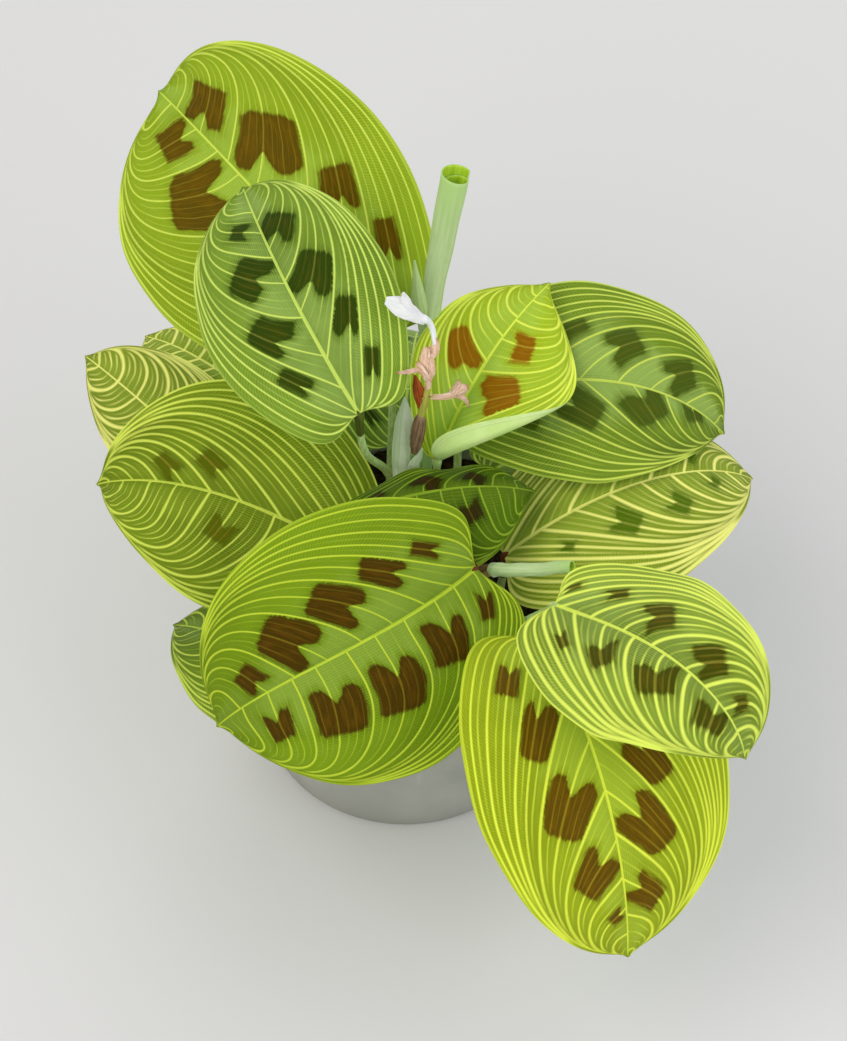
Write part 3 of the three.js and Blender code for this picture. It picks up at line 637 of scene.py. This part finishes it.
# The veins, from the main ones to hairlines: how many there are in one count, their width in
# millimetres, their strength, and the spacing in millimetres at which they fade and are full.
vein_sizes = ((1, 0.78, 0.95, 0.3, 0.8), (2, 0.6, 0.86, 0.8, 1.8), (4, 0.46, 0.75, 1.3, 3.0),
              (8, 0.4, 0.7, 1.4, 3.0), (16, 0.3, 0.4, 1.2, 2.6), (32, 0.16, 0.25, 0.6, 1.6))


def line_at(tree, count, crowd, often, width, strength, faded, full):
    """strength on every line where count times often is whole and 0 at width millimetres away from
    it. Lines that lie closer together than the spacing full grow weaker, and end at faded."""
    scaled = math(tree, "MULTIPLY_ADD", count, float(often), 0.5)
    apart = math(tree, "ABSOLUTE", math(tree, "SUBTRACT", math(tree, "FRACT", scaled), 0.5))
    spacing = math(tree, "DIVIDE", 1.0, math(tree, "MULTIPLY", crowd, float(often)))
    line = step(tree, math(tree, "MULTIPLY", apart, spacing), width * 0.25, width, strength, 0.0)
    return math(tree, "MULTIPLY", line, step(tree, spacing, faded, full))


def blade_face(name, look, seed):
    """The upper face: green that is paler along the midrib, brown blotches in a darker halo, pale
    veins of six sizes that are dimmer where they cross a blotch, and fine ripples across them."""
    material, tree, shader = finish(name, 0.5, 0.14, Specular_Tint=paint("e6f08a"))
    read = {key: node(tree, "Attribute", out=2, attribute_name=key)
            for key in ("count", "crowd", "across", "blotch", "band", "run", "offset", "share")}
    count, crowd, run, across = (read[key] for key in ("count", "crowd", "run", "across"))

    def times(first, second):
        return math(tree, "MULTIPLY", first, second)

    def along_veins(often, slow, detail):
        """Noise in streaks that follow the veins."""
        at_vein = node(tree, "CombineXYZ", times(count, often), times(run, slow), float(seed))
        return grain(tree, 1, detail, 0.6, vector=at_vein)

    streak = along_veins(14.0, 0.1, 3)
    shiver = math(tree, "SUBTRACT", along_veins(2.0, 0.04, 1), 0.5)
    wander = math(tree, "MULTIPLY_ADD", shiver, 0.14, count)
    cloud = grain(tree, 24, 3)
    sizes = [(often, width * look["veins"], *rest) for often, width, *rest in vein_sizes]
    main, minor = (line_at(tree, count, crowd, *size) for size in sizes[:2])
    uneven = step(tree, along_veins(9.0, 0.03, 2), 0.3, 0.62, 0.4 * look["fine"], look["fine"])
    strength = times(step(tree, across, 0.04, 0.4, 0.2, 1.0), uneven)
    fine = [times(strength, line_at(tree, wander, crowd, *size)) for size in sizes[2:]]
    ripple_at = node(tree, "CombineXYZ", run, times(count, 9.0), float(seed))
    ripple = node(tree, "TexWave", ripple_at, 0.31, 3.0, 2.0, 1.4, out=1)

    green = mix(tree, step(tree, streak, 0.32, 0.68), paint(look["outer"]), paint(look["inner"]))
    feather = math(tree, "MULTIPLY_ADD", math(tree, "SUBTRACT", streak, 0.5), 16.0, read["band"])
    green = mix(tree, step(tree, feather, -4.0, 7.0, 0.0, 0.9), green, paint(look["band"]))
    green = mix(tree, step(tree, cloud, 0.42, 0.66, 0.0, 0.6), green, paint(look["halo"]))
    edge = math(tree, "MULTIPLY_ADD", math(tree, "SUBTRACT", streak, 0.5), 4.0, read["blotch"])
    green = mix(tree, step(tree, edge, -4.5, -0.2, 0.0, 0.75), green, paint(look["halo"]))
    green = mix(tree, times(ripple, 0.15), green, paint(look["vein"]))
    inside = step(tree, edge, -1.1, 0.7)
    core = step(tree, edge, 0.6, 3.5)
    brown = mix(tree, times(core, step(tree, streak, 0.4, 0.66, 0.0, 0.55)), paint(look["blotch"]),
                paint(look["rust"]))
    colour = mix(tree, inside, green, brown)

    vein = mix(tree, times(inside, 0.86), paint(look["vein"]), paint(look["rust"]))
    for line in reversed(fine):
        colour = mix(tree, line, colour, vein)
    colour = mix(tree, minor, colour, vein)
    colour = mix(tree, main, colour, paint(look["vein"]))
    rib_width = math(tree, "MULTIPLY_ADD", read["share"], -0.8, 1.15)
    rib = step(tree, math(tree, "DIVIDE", read["offset"], rib_width), 0.4, 1.0, 1.0, 0.0)
    colour = mix(tree, times(rib, 0.85), colour, paint(look["vein"]))
    rim = step(tree, across, 0.97, 0.995, 0.0, 0.4)
    colour = mix(tree, rim, colour, paint(look["vein"]))
    tree.links.new(colour, shader.inputs["Base Color"])

    relief = math(tree, "MULTIPLY_ADD", minor, -0.6, times(main, -1.0))
    for line in fine[:2]:
        relief = math(tree, "MULTIPLY_ADD", line, -0.5, relief)
    relief = math(tree, "MULTIPLY_ADD", ripple, 0.22, relief)
    tree.links.new(node(tree, "Bump", 0.7, 0.0004, None, relief), shader.inputs["Normal"])
    tree.links.new(step(tree, streak, 0.2, 0.8, 0.42, 0.56), shader.inputs["Roughness"])
    return material


def blade_back(name, dull, bright):
    """The underside: two pale greens with a waxy bloom, and the veins as paler lines."""
    material, tree, shader = finish(name, 0.6, 0.15)
    count = node(tree, "Attribute", out=2, attribute_name="count")
    crowd = node(tree, "Attribute", out=2, attribute_name="crowd")
    lines = math(tree, "MAXIMUM", line_at(tree, count, crowd, 1, 0.7, 1.0, 0.3, 0.8),
                 line_at(tree, count, crowd, 8, 0.3, 0.6, 0.8, 2.0))
    bloom = step(tree, grain(tree, 60, 4), 0.3, 0.7)
    colour = mix(tree, bloom, paint(dull), paint(bright))
    colour = mix(tree, math(tree, "MULTIPLY", lines, 0.45), colour, paint("cde2a0"))
    tree.links.new(colour, shader.inputs["Base Color"])
    tree.links.new(node(tree, "Bump", 0.5, 0.0005, None, lines), shader.inputs["Normal"])
    return material


underside = blade_back("leaf_underside", "9cc070", "b4d48a")
young_underside = blade_back("young_underside", "bcdc80", "d2ea9c")


def blade(name, leaf, seed):
    """The blade as a closed sheet: an upper and a lower grid that meet in a band round the margin.
    Rows crowd at both ends and columns at the midrib and the margins. Between the veins the sheet
    is raised by quilt_height times the sine of the way from one vein to the next, and along the
    midrib it sinks in a groove."""
    rng = np.random.default_rng(seed)
    rows, columns = int(leaf["length"] * row_density), int(leaf["width"] * column_density) * 2
    x = (1 - np.cos(np.pi * np.arange(rows + 1) / rows)) / 2
    s = np.linspace(-1, 1, columns + 1)
    y = s - 0.1 * np.sin(2 * np.pi * s)
    y[columns // 2] = 0
    x, y = np.meshgrid(x, y, indexing="ij")
    a = np.abs(y)
    points, normals = blade_sheet(leaf, x, y)
    right, left = slice(0, columns // 2), slice(columns // 2, columns + 1)
    drawn = [blade_marks(leaf, x[:, cut], y[:, cut], leaf[key], points[:, cut], rng)
             for cut, key in ((right, "right"), (left, "left"))]
    count, crowd, run, depth, band = (np.concatenate(pair, 1) for pair in zip(*drawn))
    quilt = np.abs(np.sin(np.pi * count)) + 0.5 * np.abs(np.sin(2 * np.pi * count)) - 0.8
    open_ground = np.clip(0.07 / crowd, 0, 1) * np.clip(a / 0.08, 0, 1) * np.clip((1 - a) / 0.06, 0, 1)
    off_midrib = a * half_width(leaf, np.clip(x, 0.01, 0.99))
    groove = groove_depth * np.exp(-(off_midrib / groove_width) ** 2)
    points = points + (quilt_height * quilt * open_ground - groove)[..., None] * normals
    thick = blade_thickness / 2 * (1 - 0.4 * a ** 2)
    upper, lower = points + thick[..., None] * normals, points - thick[..., None] * normals

    inner = np.arange((rows - 1) * (columns + 1)).reshape(rows - 1, columns + 1) + 1
    last = inner[-1, -1] + 1
    net = np.vstack([np.zeros((1, columns + 1), int), inner, np.full((1, columns + 1), last)])
    total = last + 1

    def keep(values):
        """One point for each pinched end and the whole rows between them."""
        return np.concatenate([values[:1, 0], values[1:-1].reshape(-1, *values.shape[2:]), values[-1:, 0]])

    body = np.stack([net[1:-2, :-1], net[2:-1, :-1], net[2:-1, 1:], net[1:-2, 1:]], -1).reshape(-1, 4)
    foot = np.stack([net[0, :-1], net[1, :-1], net[1, 1:]], -1)
    tip = np.stack([net[-2, :-1], net[-1, 1:], net[-2, 1:]], -1)
    ring = np.r_[net[:-1, 0], net[:0:-1, -1]]
    onward = np.roll(ring, -1)
    band_faces = np.stack([ring, ring + total, onward + total, onward], -1)
    top = body.tolist() + foot.tolist() + tip.tolist()
    bottom = [tuple(reversed([corner + total for corner in face])) for face in top]
    faces = top + bottom + band_faces.tolist()
    facets = np.r_[np.zeros(len(top), int), np.ones(len(bottom), int), np.zeros(len(band_faces), int)]
    offset = a * np.maximum(half_width(leaf, np.clip(x, 1e-3, 1 - 1e-3)), 1)
    values = dict(count=count, crowd=crowd, across=a, blotch=depth, band=band, run=run,
                  offset=offset, share=x)
    values = {key: np.tile(keep(number), 2).astype(np.float32) for key, number in values.items()}
    uv = np.tile(keep(np.stack([x, (y + 1) / 2], -1)), (2, 1))
    look = looks[leaf["look"]]
    skins = [blade_face(name + "_face", look, seed), young_underside if leaf["hem"] else underside]
    place(name + "_blade", np.vstack([keep(upper), keep(lower)]), faces, skins, [name],
          uv, facets, values)


for seed, (name, leaf) in enumerate(leaves.items()):
    blade(name, leaf, seed + 1)


# ---- Leaf stalks -----------------------------------------------------------------------------
# Slim round stalks, one for each blade, that rise from the soil and end in a short swollen joint,
# which is browner or olive on some; the deep olive on one of them is painted shade. Beyond it the
# stalk goes on as the raised midrib below the blade.

stalk_foot, stalk_top, joint_radius, joint_length, hole_depth = 1.9, 1.4, 2.1, 6, 9
rib_from, rib_to, rib_end, skin_lift = 0.02, 0.93, 0.22, 0.12


def tube(path, radius, sides=16, ripple=0.0, ribs=5):
    """A closed tube. Ring k is a circle of its radius round path point k, square to the path, and
    the rings follow the path without twisting. ripple adds that share of the radius times the
    cosine of ribs times the turn."""
    path = np.asarray(path, float)
    count = len(path)
    radius = np.asarray(radius, float)
    along = unit(np.gradient(path, axis=0))
    across = np.empty_like(path)
    turn_to = np.array([1.0, 0, 0])
    for k, direction in enumerate(along):
        turn_to = unit(turn_to - direction * (turn_to @ direction))
        across[k] = turn_to
    deep = np.cross(along, across)
    turn = np.linspace(0, 2 * np.pi, sides, endpoint=False)
    out = radius[:, None] * (1 + ripple * np.cos(ribs * turn))
    ring = (path[:, None] + (out * np.cos(turn))[..., None] * across[:, None]
            + (out * np.sin(turn))[..., None] * deep[:, None])
    points = np.vstack([ring.reshape(-1, 3), path[:1], path[-1:]])
    row = np.arange(sides)
    low = np.arange(count - 1)[:, None] * sides
    nxt = (row + 1) % sides
    quads = np.stack([low + row, low + nxt, low + sides + nxt, low + sides + row], -1).reshape(-1, 4)
    foot, head = count * sides, count * sides + 1
    last = (count - 1) * sides
    caps = [(foot, b, a) for a, b in zip(row.tolist(), nxt.tolist())]
    caps += [(head, last + a, last + b) for a, b in zip(row.tolist(), nxt.tolist())]
    length = np.r_[0, np.cumsum(np.linalg.norm(np.diff(path, axis=0), axis=1))]
    uv = np.stack(np.broadcast_arrays(turn / (2 * np.pi), length[:, None] / length[-1]), -1)
    uv = np.vstack([uv.reshape(-1, 2), [[0, 0]], [[0, 1]]])
    return points, quads.tolist() + caps, uv


def stalk_skin():
    """Pale glaucous green, rosy where it leaves the soil, with fine lengthwise lines."""
    material, tree, shader = finish("stalk_skin", 0.5, 0.35, Subsurface_Weight=0.1)
    where = node(tree, "TexCoord", out=3)
    tall = node(tree, "SeparateXYZ", where, out=2)
    lines = grain(tree, 1, 3, vector=node(tree, "Mapping", where, None, None, (900, 900, 60)))
    colour = mix(tree, step(tree, lines, 0.3, 0.7), paint("93b866"), paint("b9d692"))
    rosy = step(tree, tall, 0.098, 0.125, 0.45, 0.0)
    colour = mix(tree, rosy, colour, paint("a8766a"))
    tree.links.new(colour, shader.inputs["Base Color"])
    tree.links.new(node(tree, "Bump", 0.3, 0.0003, None, lines), shader.inputs["Normal"])
    return material


def stalk_path(leaf, end, count=34):
    """A cubic curve that leaves the soil and arrives at the blade's base, with the stretch that
    stands in the soil below it."""
    start = np.array([*leaf["root"], soil_top + 1.0])
    rise = end[2] - start[2]
    if "via" in leaf:
        first, second = np.array(leaf["via"], float)
    else:
        arrive = directions(leaf, np.array(0.0))[0] * leaf["hook"] + [0, 0, 1 - abs(leaf["hook"])]
        first = start + [0, 0, leaf["lift"] * rise]
        second = end - unit(arrive) * 0.45 * rise
        second[2] = max(second[2], start[2] + 3)
    t = np.linspace(0, 1, count)[:, None]
    path = ((1 - t) ** 3 * start + 3 * t * (1 - t) ** 2 * first + 3 * t ** 2 * (1 - t) * second
            + t ** 3 * end)
    return np.vstack([[start - [0, 0, hole_depth]], [start - [0, 0, 3]], path])


def lined(name, pale, deep, around, along, roughness=0.55, specular=0.2, tip=None, bump=0.0003,
          **sockets):
    """A grown skin with fine lengthwise lines: noise that is stretched along the piece's own
    surface map mixes two tints, and the last stretch of the piece can fade to a third."""
    material, tree, shader = finish(name, roughness, specular, **sockets)
    where = node(tree, "UVMap", uv_map="surface")
    lines = grain(tree, 1, 4, 0.6, vector=node(tree, "Mapping", where, None, None, (around, along, 1)))
    spots = grain(tree, 260, 3)
    colour = mix(tree, step(tree, lines, 0.3, 0.7), paint(deep), paint(pale))
    colour = mix(tree, step(tree, spots, 0.5, 0.8, 0.0, 0.4), colour, paint(deep))
    if tip:
        height = node(tree, "SeparateXYZ", where, out=1)
        colour = mix(tree, step(tree, height, 0.82, 1.0, 0.0, 0.8), colour, paint(tip))
    tree.links.new(colour, shader.inputs["Base Color"])
    tree.links.new(step(tree, spots, 0.2, 0.8, roughness - 0.06, roughness + 0.08),
                   shader.inputs["Roughness"])
    tree.links.new(node(tree, "Bump", 0.6, bump, None, lines), shader.inputs["Normal"])
    return material


stalk_finish = stalk_skin()
# The browns and the pale olive are the joints' own colour. The deep olive on leaf_upper_left is painted
# shade: its stalk lies in the shadow under the blades.
joint_colours_and_shade = {"leaf_front": ("7a4a24", "5a3218"), "leaf_right": ("7a3c1c", "582a12"),
               "leaf_upper_left": ("55621c", "38440e"), "leaf_left": ("8c9a3c", "6a7a20")}
for name, leaf in leaves.items():
    face = directions(leaf, np.array(0.0))[2]
    path = stalk_path(leaf, np.array(leaf["base"]) - (stalk_top - 0.2) * face)
    length = np.r_[0, np.cumsum(np.linalg.norm(np.diff(path, axis=0), axis=1))]
    left = length[-1] - length
    radius = stalk_foot + (stalk_top - stalk_foot) * length / length[-1]
    radius += (joint_radius - stalk_top) * np.exp(-(left / (joint_length * 0.55)) ** 2)
    share = np.linspace(rib_from, rib_to, 30)
    rib = (stalk_top - 0.05) * (1 - share) ** 0.8 + rib_end
    depth = (rib + groove_depth)[:, None]
    under = midrib(leaf, share * leaf["length"]) - depth * directions(leaf, share)[2]
    points, faces, uv = tube(np.vstack([path, under]), np.r_[radius, rib], 14)
    place(name + "_stalk", points, faces, [stalk_finish], [name], uv)
    if name in joint_colours_and_shade:
        skin = lined(name + "_joint_skin", *joint_colours_and_shade[name], 10, 2, 0.6, 0.15)
        grip = left < 2 * joint_length
        swell = radius[grip] + skin_lift * np.minimum(1, np.arange(grip.sum()) / 3)
        swell = np.r_[swell, rib[0] + 0.1]
        points, faces, uv = tube(np.vstack([path[grip], under[:1]]), swell, 18)
        place(name + "_joint", points, faces, [skin], [name], uv)


# ---- Rolled leaves ---------------------------------------------------------------------------
# Two young leaves that have not opened yet. Each blade is still rolled round itself with its pale
# underside out, on a stalk of its own, and its mouth is slanted where the margins overlap.

def curve(points, count):
    """A smooth path of count points through the given ones: each stretch is the cubic whose
    slopes at both ends are half the step between the neighbours."""
    points = np.asarray(points, float)
    if points.ndim == 1:
        return curve(points[:, None], count)[:, 0]
    held = np.vstack([2 * points[0] - points[1], points, 2 * points[-1] - points[-2]])
    at = np.linspace(0, len(points) - 1 - 1e-9, count)
    k = at.astype(int)
    t = (at - k)[:, None]
    a, b, c, d = held[k], held[k + 1], held[k + 2], held[k + 3]
    return (2 * b + (c - a) * t + (2 * a - 5 * b + 4 * c - d) * t ** 2
            + (3 * b - a - 3 * c + d) * t ** 3) / 2


def furled(path, width, wrap, facing, inward=0.0, thick=0.4, slant=0.0, wrinkle=0.0, seed=0,
           rows=70, columns=40):
    """The outer and the inner grid of a curved sheet along a path. Each cross line is an arc as
    long as width that turns through wrap degrees, both read along the path, with its middle
    towards facing; its radius shrinks by the share inward with every full turn. One margin ends
    lower by the share slant. Three waves of random direction crease the sheet by wrinkle."""
    steps = 120
    marks = np.linspace(0, 1, steps)
    track = curve(path, steps)
    along = unit(np.gradient(track, axis=0))
    across = unit(facing - along * (along @ np.array(facing, float))[:, None])
    deep = np.cross(along, across)
    t, s = np.meshgrid(np.linspace(0, 1, rows), np.linspace(-0.5, 0.5, columns), indexing="ij")
    share = t * (1 - slant * (0.5 + s) ** 2)

    def at(values):
        """Values given along the path, read at every point of the grid."""
        return np.stack([np.interp(share, marks, column) for column in values.T], -1)

    angle = np.radians(np.interp(share, marks, curve(wrap, steps)))
    length = np.interp(share, marks, curve(width, steps))
    turn = s * angle
    radius = length / angle * (1 - inward * turn / (2 * np.pi))
    rng = np.random.default_rng(seed)
    for k in range(3):
        way, phase = rng.uniform(2, 7, 2) * (1, 0.6), rng.uniform(0, 2 * np.pi)
        radius = radius + wrinkle / 3 * np.sin(2 * np.pi * (way[0] * t + way[1] * s) + phase)
    out = np.cos(turn)[..., None] * at(across) + np.sin(turn)[..., None] * at(deep)
    middle = at(track) - (length / angle * np.sinc(angle / 2 / np.pi))[..., None] * at(across)
    surface = middle + radius[..., None] * out
    return surface + thick / 2 * out, surface - thick / 2 * out


def sheet(outer, inner):
    """A closed mesh from the two grids of a sheet, with a band round its edge. The inner grid takes
    the second material."""
    rows, columns = outer.shape[:2]
    net = np.arange(rows * columns).reshape(rows, columns)
    total = rows * columns
    skin = np.stack([net[:-1, :-1], net[:-1, 1:], net[1:, 1:], net[1:, :-1]], -1).reshape(-1, 4)
    ring = np.r_[net[:-1, 0], net[-1, :-1], net[:0:-1, -1], net[0, :0:-1]]
    onward = np.roll(ring, -1)
    edge = np.stack([ring, onward, onward + total, ring + total], -1)
    faces = np.vstack([skin, skin[:, ::-1] + total, edge])
    facets = np.r_[np.zeros(len(skin), int), np.ones(len(skin), int), np.zeros(len(edge), int)]
    v, u = np.meshgrid(np.linspace(0, 1, rows), np.linspace(0, 1, columns), indexing="ij")
    uv = np.tile(np.stack([u, v], -1).reshape(-1, 2), (2, 1))
    return np.vstack([outer.reshape(-1, 3), inner.reshape(-1, 3)]), faces.tolist(), uv, facets


rolled_out = lined("rolled_underside", "cadeaa", "accb84", 26, 2.5, 0.6, 0.12, tip="b4d884")
rolled_in = lined("rolled_inside", "cce84a", "9cc424", 20, 2, 0.5, 0.12)
lance_out = lined("lance_out", "d2e8a8", "b2d080", 16, 2, 0.6, 0.12)
rolled_stem = lined("rolled_stem", "a4c67c", "86aa5c", 12, 3, 0.5, 0.2)
dry_brown = lined("dry_brown", "a98a60", "6c4a2c", 14, 2, 0.75, 0.1)
pale_collar = lined("pale_collar", "e2ead0", "bccda4", 16, 1, 0.6, 0.15)


def stem_tube(name, path, radius, material, replaced, slot="stalk", count=40, sides=16, **shape):
    """A round stem along a smooth path, with the radius read along it."""
    points, faces, uv = tube(curve(path, count), curve(radius, count), sides, **shape)
    place(name, points, faces, [material], [replaced], uv)


def furled_sheet(name, materials, replaced, slot, path, width, wrap, facing, **shape):
    """One curved sheet as a piece."""
    points, faces, uv, facets = sheet(*furled(path, width, wrap, facing, **shape))
    place(name, points, faces, materials, [replaced], uv, facets)


stem_tube("rolled_tall_stem", [(10, 24, 91), (9, 27, 125), (9, 34, 148), (9.5, 46, 176)],
          [2.4, 2.6, 2.5, 1.4], rolled_stem, "rolled_leaf_tall")
furled_sheet("rolled_tall_blade", [rolled_out, rolled_in], "rolled_leaf_tall", "stalk",
             [(9, 31, 138), (9, 39, 160), (10.5, 54, 193), (15, 61, 224), (20, 66, 256)],
             [20, 25, 34, 42, 48], [520, 520, 520, 520, 520], (0.3, -1, 0.3), inward=0.13, thick=0.45,
             slant=0.05, wrinkle=0.16, seed=3, rows=120, columns=90)
furled_sheet("rolled_tall_lance", [lance_out, rolled_in], "rolled_leaf_tall", "stalk",
             [(9, 46.5, 176), (8.5, 50, 187), (6.2, 52, 199), (4.5, 58, 217)], [7, 8.5, 8, 0.7],
             [150, 130, 100, 90], (-0.4, -1, 0), thick=0.35, rows=60, columns=24)
stem_tube("rolled_low_stem", [(22, -22, 91), (23, -25, 118), (28, -31, 134), (34, -33.6, 139.2)],
          [1.9, 2.1, 2.2, 2.1], rolled_stem, "rolled_leaf_low")
stem_tube("rolled_low_brown", [(28.6, -31.4, 134.9), (31, -32.6, 137.2), (34.5, -33.9, 139.6)],
          [2.25, 2.6, 2.4], dry_brown, "rolled_leaf_low", ripple=0.04)
stem_tube("rolled_low_collar", [(34, -33.8, 139.3), (35.4, -34.3, 140.1), (37, -34.9, 141)],
          [2.3, 2.95, 2.5], pale_collar, "rolled_leaf_low")
furled_sheet("rolled_low_blade", [rolled_out, rolled_in], "rolled_leaf_low", "stalk",
             [(34.6, -34, 139.7), (37, -35, 141), (50, -39, 146), (65.4, -42.2, 152.2)],
             [20, 20.5, 20, 18], [500, 500, 500, 500], (-0.2, -0.6, 1), inward=0.13, thick=0.45,
             slant=0.06, wrinkle=0.22, seed=5, rows=90, columns=80)


# ---- Flower shoot ----------------------------------------------------------------------------
# A short pale stem between two keeled sheaths, with a dry bract that holds the flower stalk: one
# open white flower on top, one bud bract, and two wilted flowers of crumpled thin tissue.

sheath_out = lined("sheath_out", "e6f0d8", "c6dcb0", 18, 2, 0.55, 0.15)
sheath_in = lined("sheath_in", "cce0b0", "a8c684", 14, 2, 0.55, 0.15)
bract_skin = lined("bract_skin", "9a7f62", "5a4430", 16, 1.5, 0.8, 0.08, tip="b59a74", bump=0.0005)
red_bract_skin = lined("red_bract_skin", "b8602c", "7c3210", 12, 1.5, 0.65, 0.1, tip="8c4a22")
calyx_skin = lined("calyx_skin", "c6c060", "9aa038", 14, 2, 0.5, 0.15)
white_petal = lined("white_petal", "ffffff", "ecebee", 12, 1.5, 0.5, 0.1, Subsurface_Weight=0.2)
wilted = lined("wilted_petal", "fae2cc", "d4a27e", 10, 2.5, 0.7, 0.1, tip="c08c58", bump=0.0006)

stem_tube("shoot_stem", [(1.5, 9, 91), (2, 8, 130), (3, 5, 158), (4, 3, 165), (4.2, -0.6, 171)],
          [1.8, 1.7, 1.5, 1.4, 1.3], rolled_stem, "flower_shoot")
furled_sheet("shoot_left_sheath", [sheath_out, sheath_in], "flower_shoot", "stalk",
             [(0, 8, 91), (0, 7, 125), (0, 6, 150), (0, 4.5, 163), (0.5, 5, 180), (1, 5, 196)],
             [11, 15, 17, 16, 10, 0.8], [260, 230, 190, 170, 140, 110], (-0.35, -1, 0.2), thick=0.4,
             wrinkle=0.12, seed=8, rows=100, columns=36)
furled_sheet("shoot_right_sheath", [sheath_out, sheath_in], "flower_shoot", "stalk",
             [(4.4, 4, 157), (5.6, 2.6, 162), (6.4, 1.6, 166), (7.3, -0.5, 173)], [9, 10, 9, 0.8],
             [170, 160, 150, 110], (0.9, -0.6, 0), thick=0.35, rows=44, columns=26)
stem_tube("spindle_core", [(4.3, -0.8, 170.8), (5.5, 0, 181), (7, 0.3, 191.8)], [1.2, 2.2, 0.9],
          bract_skin, "flower_spindle_bract", "bract", ripple=0.04)
furled_sheet("spindle_bract", [bract_skin, bract_skin], "flower_spindle_bract", "bract",
             [(4.3, -0.8, 170.8), (4.9, -0.5, 175.5), (5.5, 0, 181), (6.3, 0.2, 187), (7, 0.3, 191.5)],
             [5.5, 10.5, 11.5, 9, 3], [290, 260, 250, 230, 200], (-0.4, -1, 0.2), thick=0.25,
             wrinkle=0.15, seed=9, rows=50, columns=32)
stem_tube("pedicel_core", [(7.1, 0.3, 191), (8.4, 1.5, 197), (9.5, 2.2, 204)], [1.2, 1.5, 1.2],
          calyx_skin, "flower_pedicel", ripple=0.06)
for k, (tip, turn_to) in enumerate((((12.2, 0.6, 202.5), (1, -0.6, 0)), ((7.6, 0.2, 201), (-0.2, -1, 0)),
                                    ((10.8, 3.6, 205.5), (0.6, 1, 0)))):
    furled_sheet(f"pedicel_lobe_{k}", [calyx_skin, calyx_skin], "flower_pedicel", "stalk",
                 [(7.3, 0.5, 192.5), (8.5, 1.4, 197), tip], [3.2, 3.6, 0.5], [150, 130, 100], turn_to,
                 thick=0.25, rows=26, columns=14)
furled_sheet("red_bract", [red_bract_skin, red_bract_skin], "flower_red_bract", "bract",
             [(6.8, 1.2, 194), (6.1, 1.6, 199), (5.6, 2, 203), (4.8, 2.5, 211)], [4.5, 7.2, 7, 0.8],
             [200, 190, 170, 120], (-0.5, -1, 0.1), thick=0.25, wrinkle=0.12, seed=12, rows=44, columns=26)

stem_tube("old_flower_tube", [(9.5, 2.2, 203.5), (10, 3, 209), (9, 5.5, 213), (8.7, 7, 216)],
          [1.0, 1.2, 1.7, 0.8], wilted, "flower_old", "faded_petal", ripple=0.12)
for k, (path, width, turn_to) in enumerate((
        ([(9.8, 2.6, 206), (8.6, 2.2, 210), (6.6, 3.2, 213.5), (5.4, 5.6, 215)], [3, 5.2, 5, 1.2],
         (-1, -1, 0)),
        ([(10.2, 3, 207), (11.6, 3.6, 210.6), (11.4, 6, 214), (9.8, 8.2, 217)], [3, 4.8, 4.6, 1.4],
         (1, -0.6, 0)),
        ([(9.4, 4.6, 211), (8.2, 5, 214.6), (8.8, 7.6, 218), (10, 9, 219.6)], [3, 4.6, 4, 1],
         (-0.4, -1, 0.6)),
        ([(8, 4.5, 212.5), (4, 0.5, 215.5), (0.6, -2.2, 217.4), (-2, -4, 219)], [2.6, 2.2, 1.5, 0.5],
         (0.2, -0.6, 1)))):
    furled_sheet(f"old_flower_petal_{k}", [wilted, wilted], "flower_old", "faded_petal", path, width,
                 [150, 130, 120, 90], turn_to, thick=0.2, wrinkle=0.4, seed=20 + k, rows=40, columns=18)
furled_sheet("bud_bract", [wilted, dry_brown], "flower_bud_bract", "faded_petal",
             [(9.8, 7.5, 213.5), (11, 8.8, 215.4), (12, 10, 217), (12.7, 12.2, 221)], [5, 8, 7, 1.5],
             [260, 250, 230, 150], (-0.3, -1, 0.2), thick=0.25, wrinkle=0.15, seed=26, rows=36, columns=26)
stem_tube("white_flower_tube", [(12.3, 11, 218.5), (11.5, 14, 223), (10, 15, 226.5), (8, 13.4, 230)],
          [0.9, 1.1, 1.3, 1.7], white_petal, "flower_white", "petal", ripple=0.05)
for k, (path, width, wrap, turn_to) in enumerate((
        ([(8.8, 13.4, 228.6), (4, 13.5, 232.5), (-1, 14, 236), (-6, 14, 239)], [3.6, 6.4, 7.6, 3],
         [110, 80, 50, 40], (0.2, -0.6, 0.8)),
        ([(6, 13.6, 231), (3.4, 14.2, 234), (1.4, 15.2, 238), (0.4, 15.6, 241.5)], [2.6, 3.4, 3.4, 1],
         [100, 80, 60, 50], (0.4, -0.8, 0.3)))):
    furled_sheet(f"white_petal_{k}", [white_petal, white_petal], "flower_white", "petal", path, width,
                 wrap, turn_to, thick=0.25, wrinkle=0.14, seed=30 + k, rows=40, columns=20)
stem_tube("withered_tube", [(9.6, 3.2, 198.4), (14, 6, 195), (19, 9, 193), (22, 10.8, 193)],
          [0.9, 1.15, 1.3, 1.2], wilted, "flower_withered", "faded_petal", ripple=0.12)
for k, (path, width, turn_to) in enumerate((
        ([(18, 8.4, 193.6), (21.4, 9.6, 195.4), (24.6, 12, 195.4)], [3, 4.6, 1.6], (0, -0.6, 1)),
        ([(18.5, 8.8, 193), (22.4, 10.2, 192.4), (25.4, 13.4, 192.6)], [3, 4.8, 1.8], (0.2, -1, 0.2)),
        ([(17, 7.8, 193.4), (20, 11.4, 194.8), (22, 14, 196)], [2.6, 4.2, 1.5], (-0.6, 0.2, 1)),
        ([(20, 9.5, 193), (24, 9.5, 190), (25.5, 9, 186)], [3, 2.2, 0.6], (0.4, -1, 0.5)))):
    furled_sheet(f"withered_petal_{k}", [wilted, wilted], "flower_withered", "faded_petal", path, width,
                 [140, 120, 100], turn_to, thick=0.2, wrinkle=0.35, seed=40 + k, rows=36, columns=18)
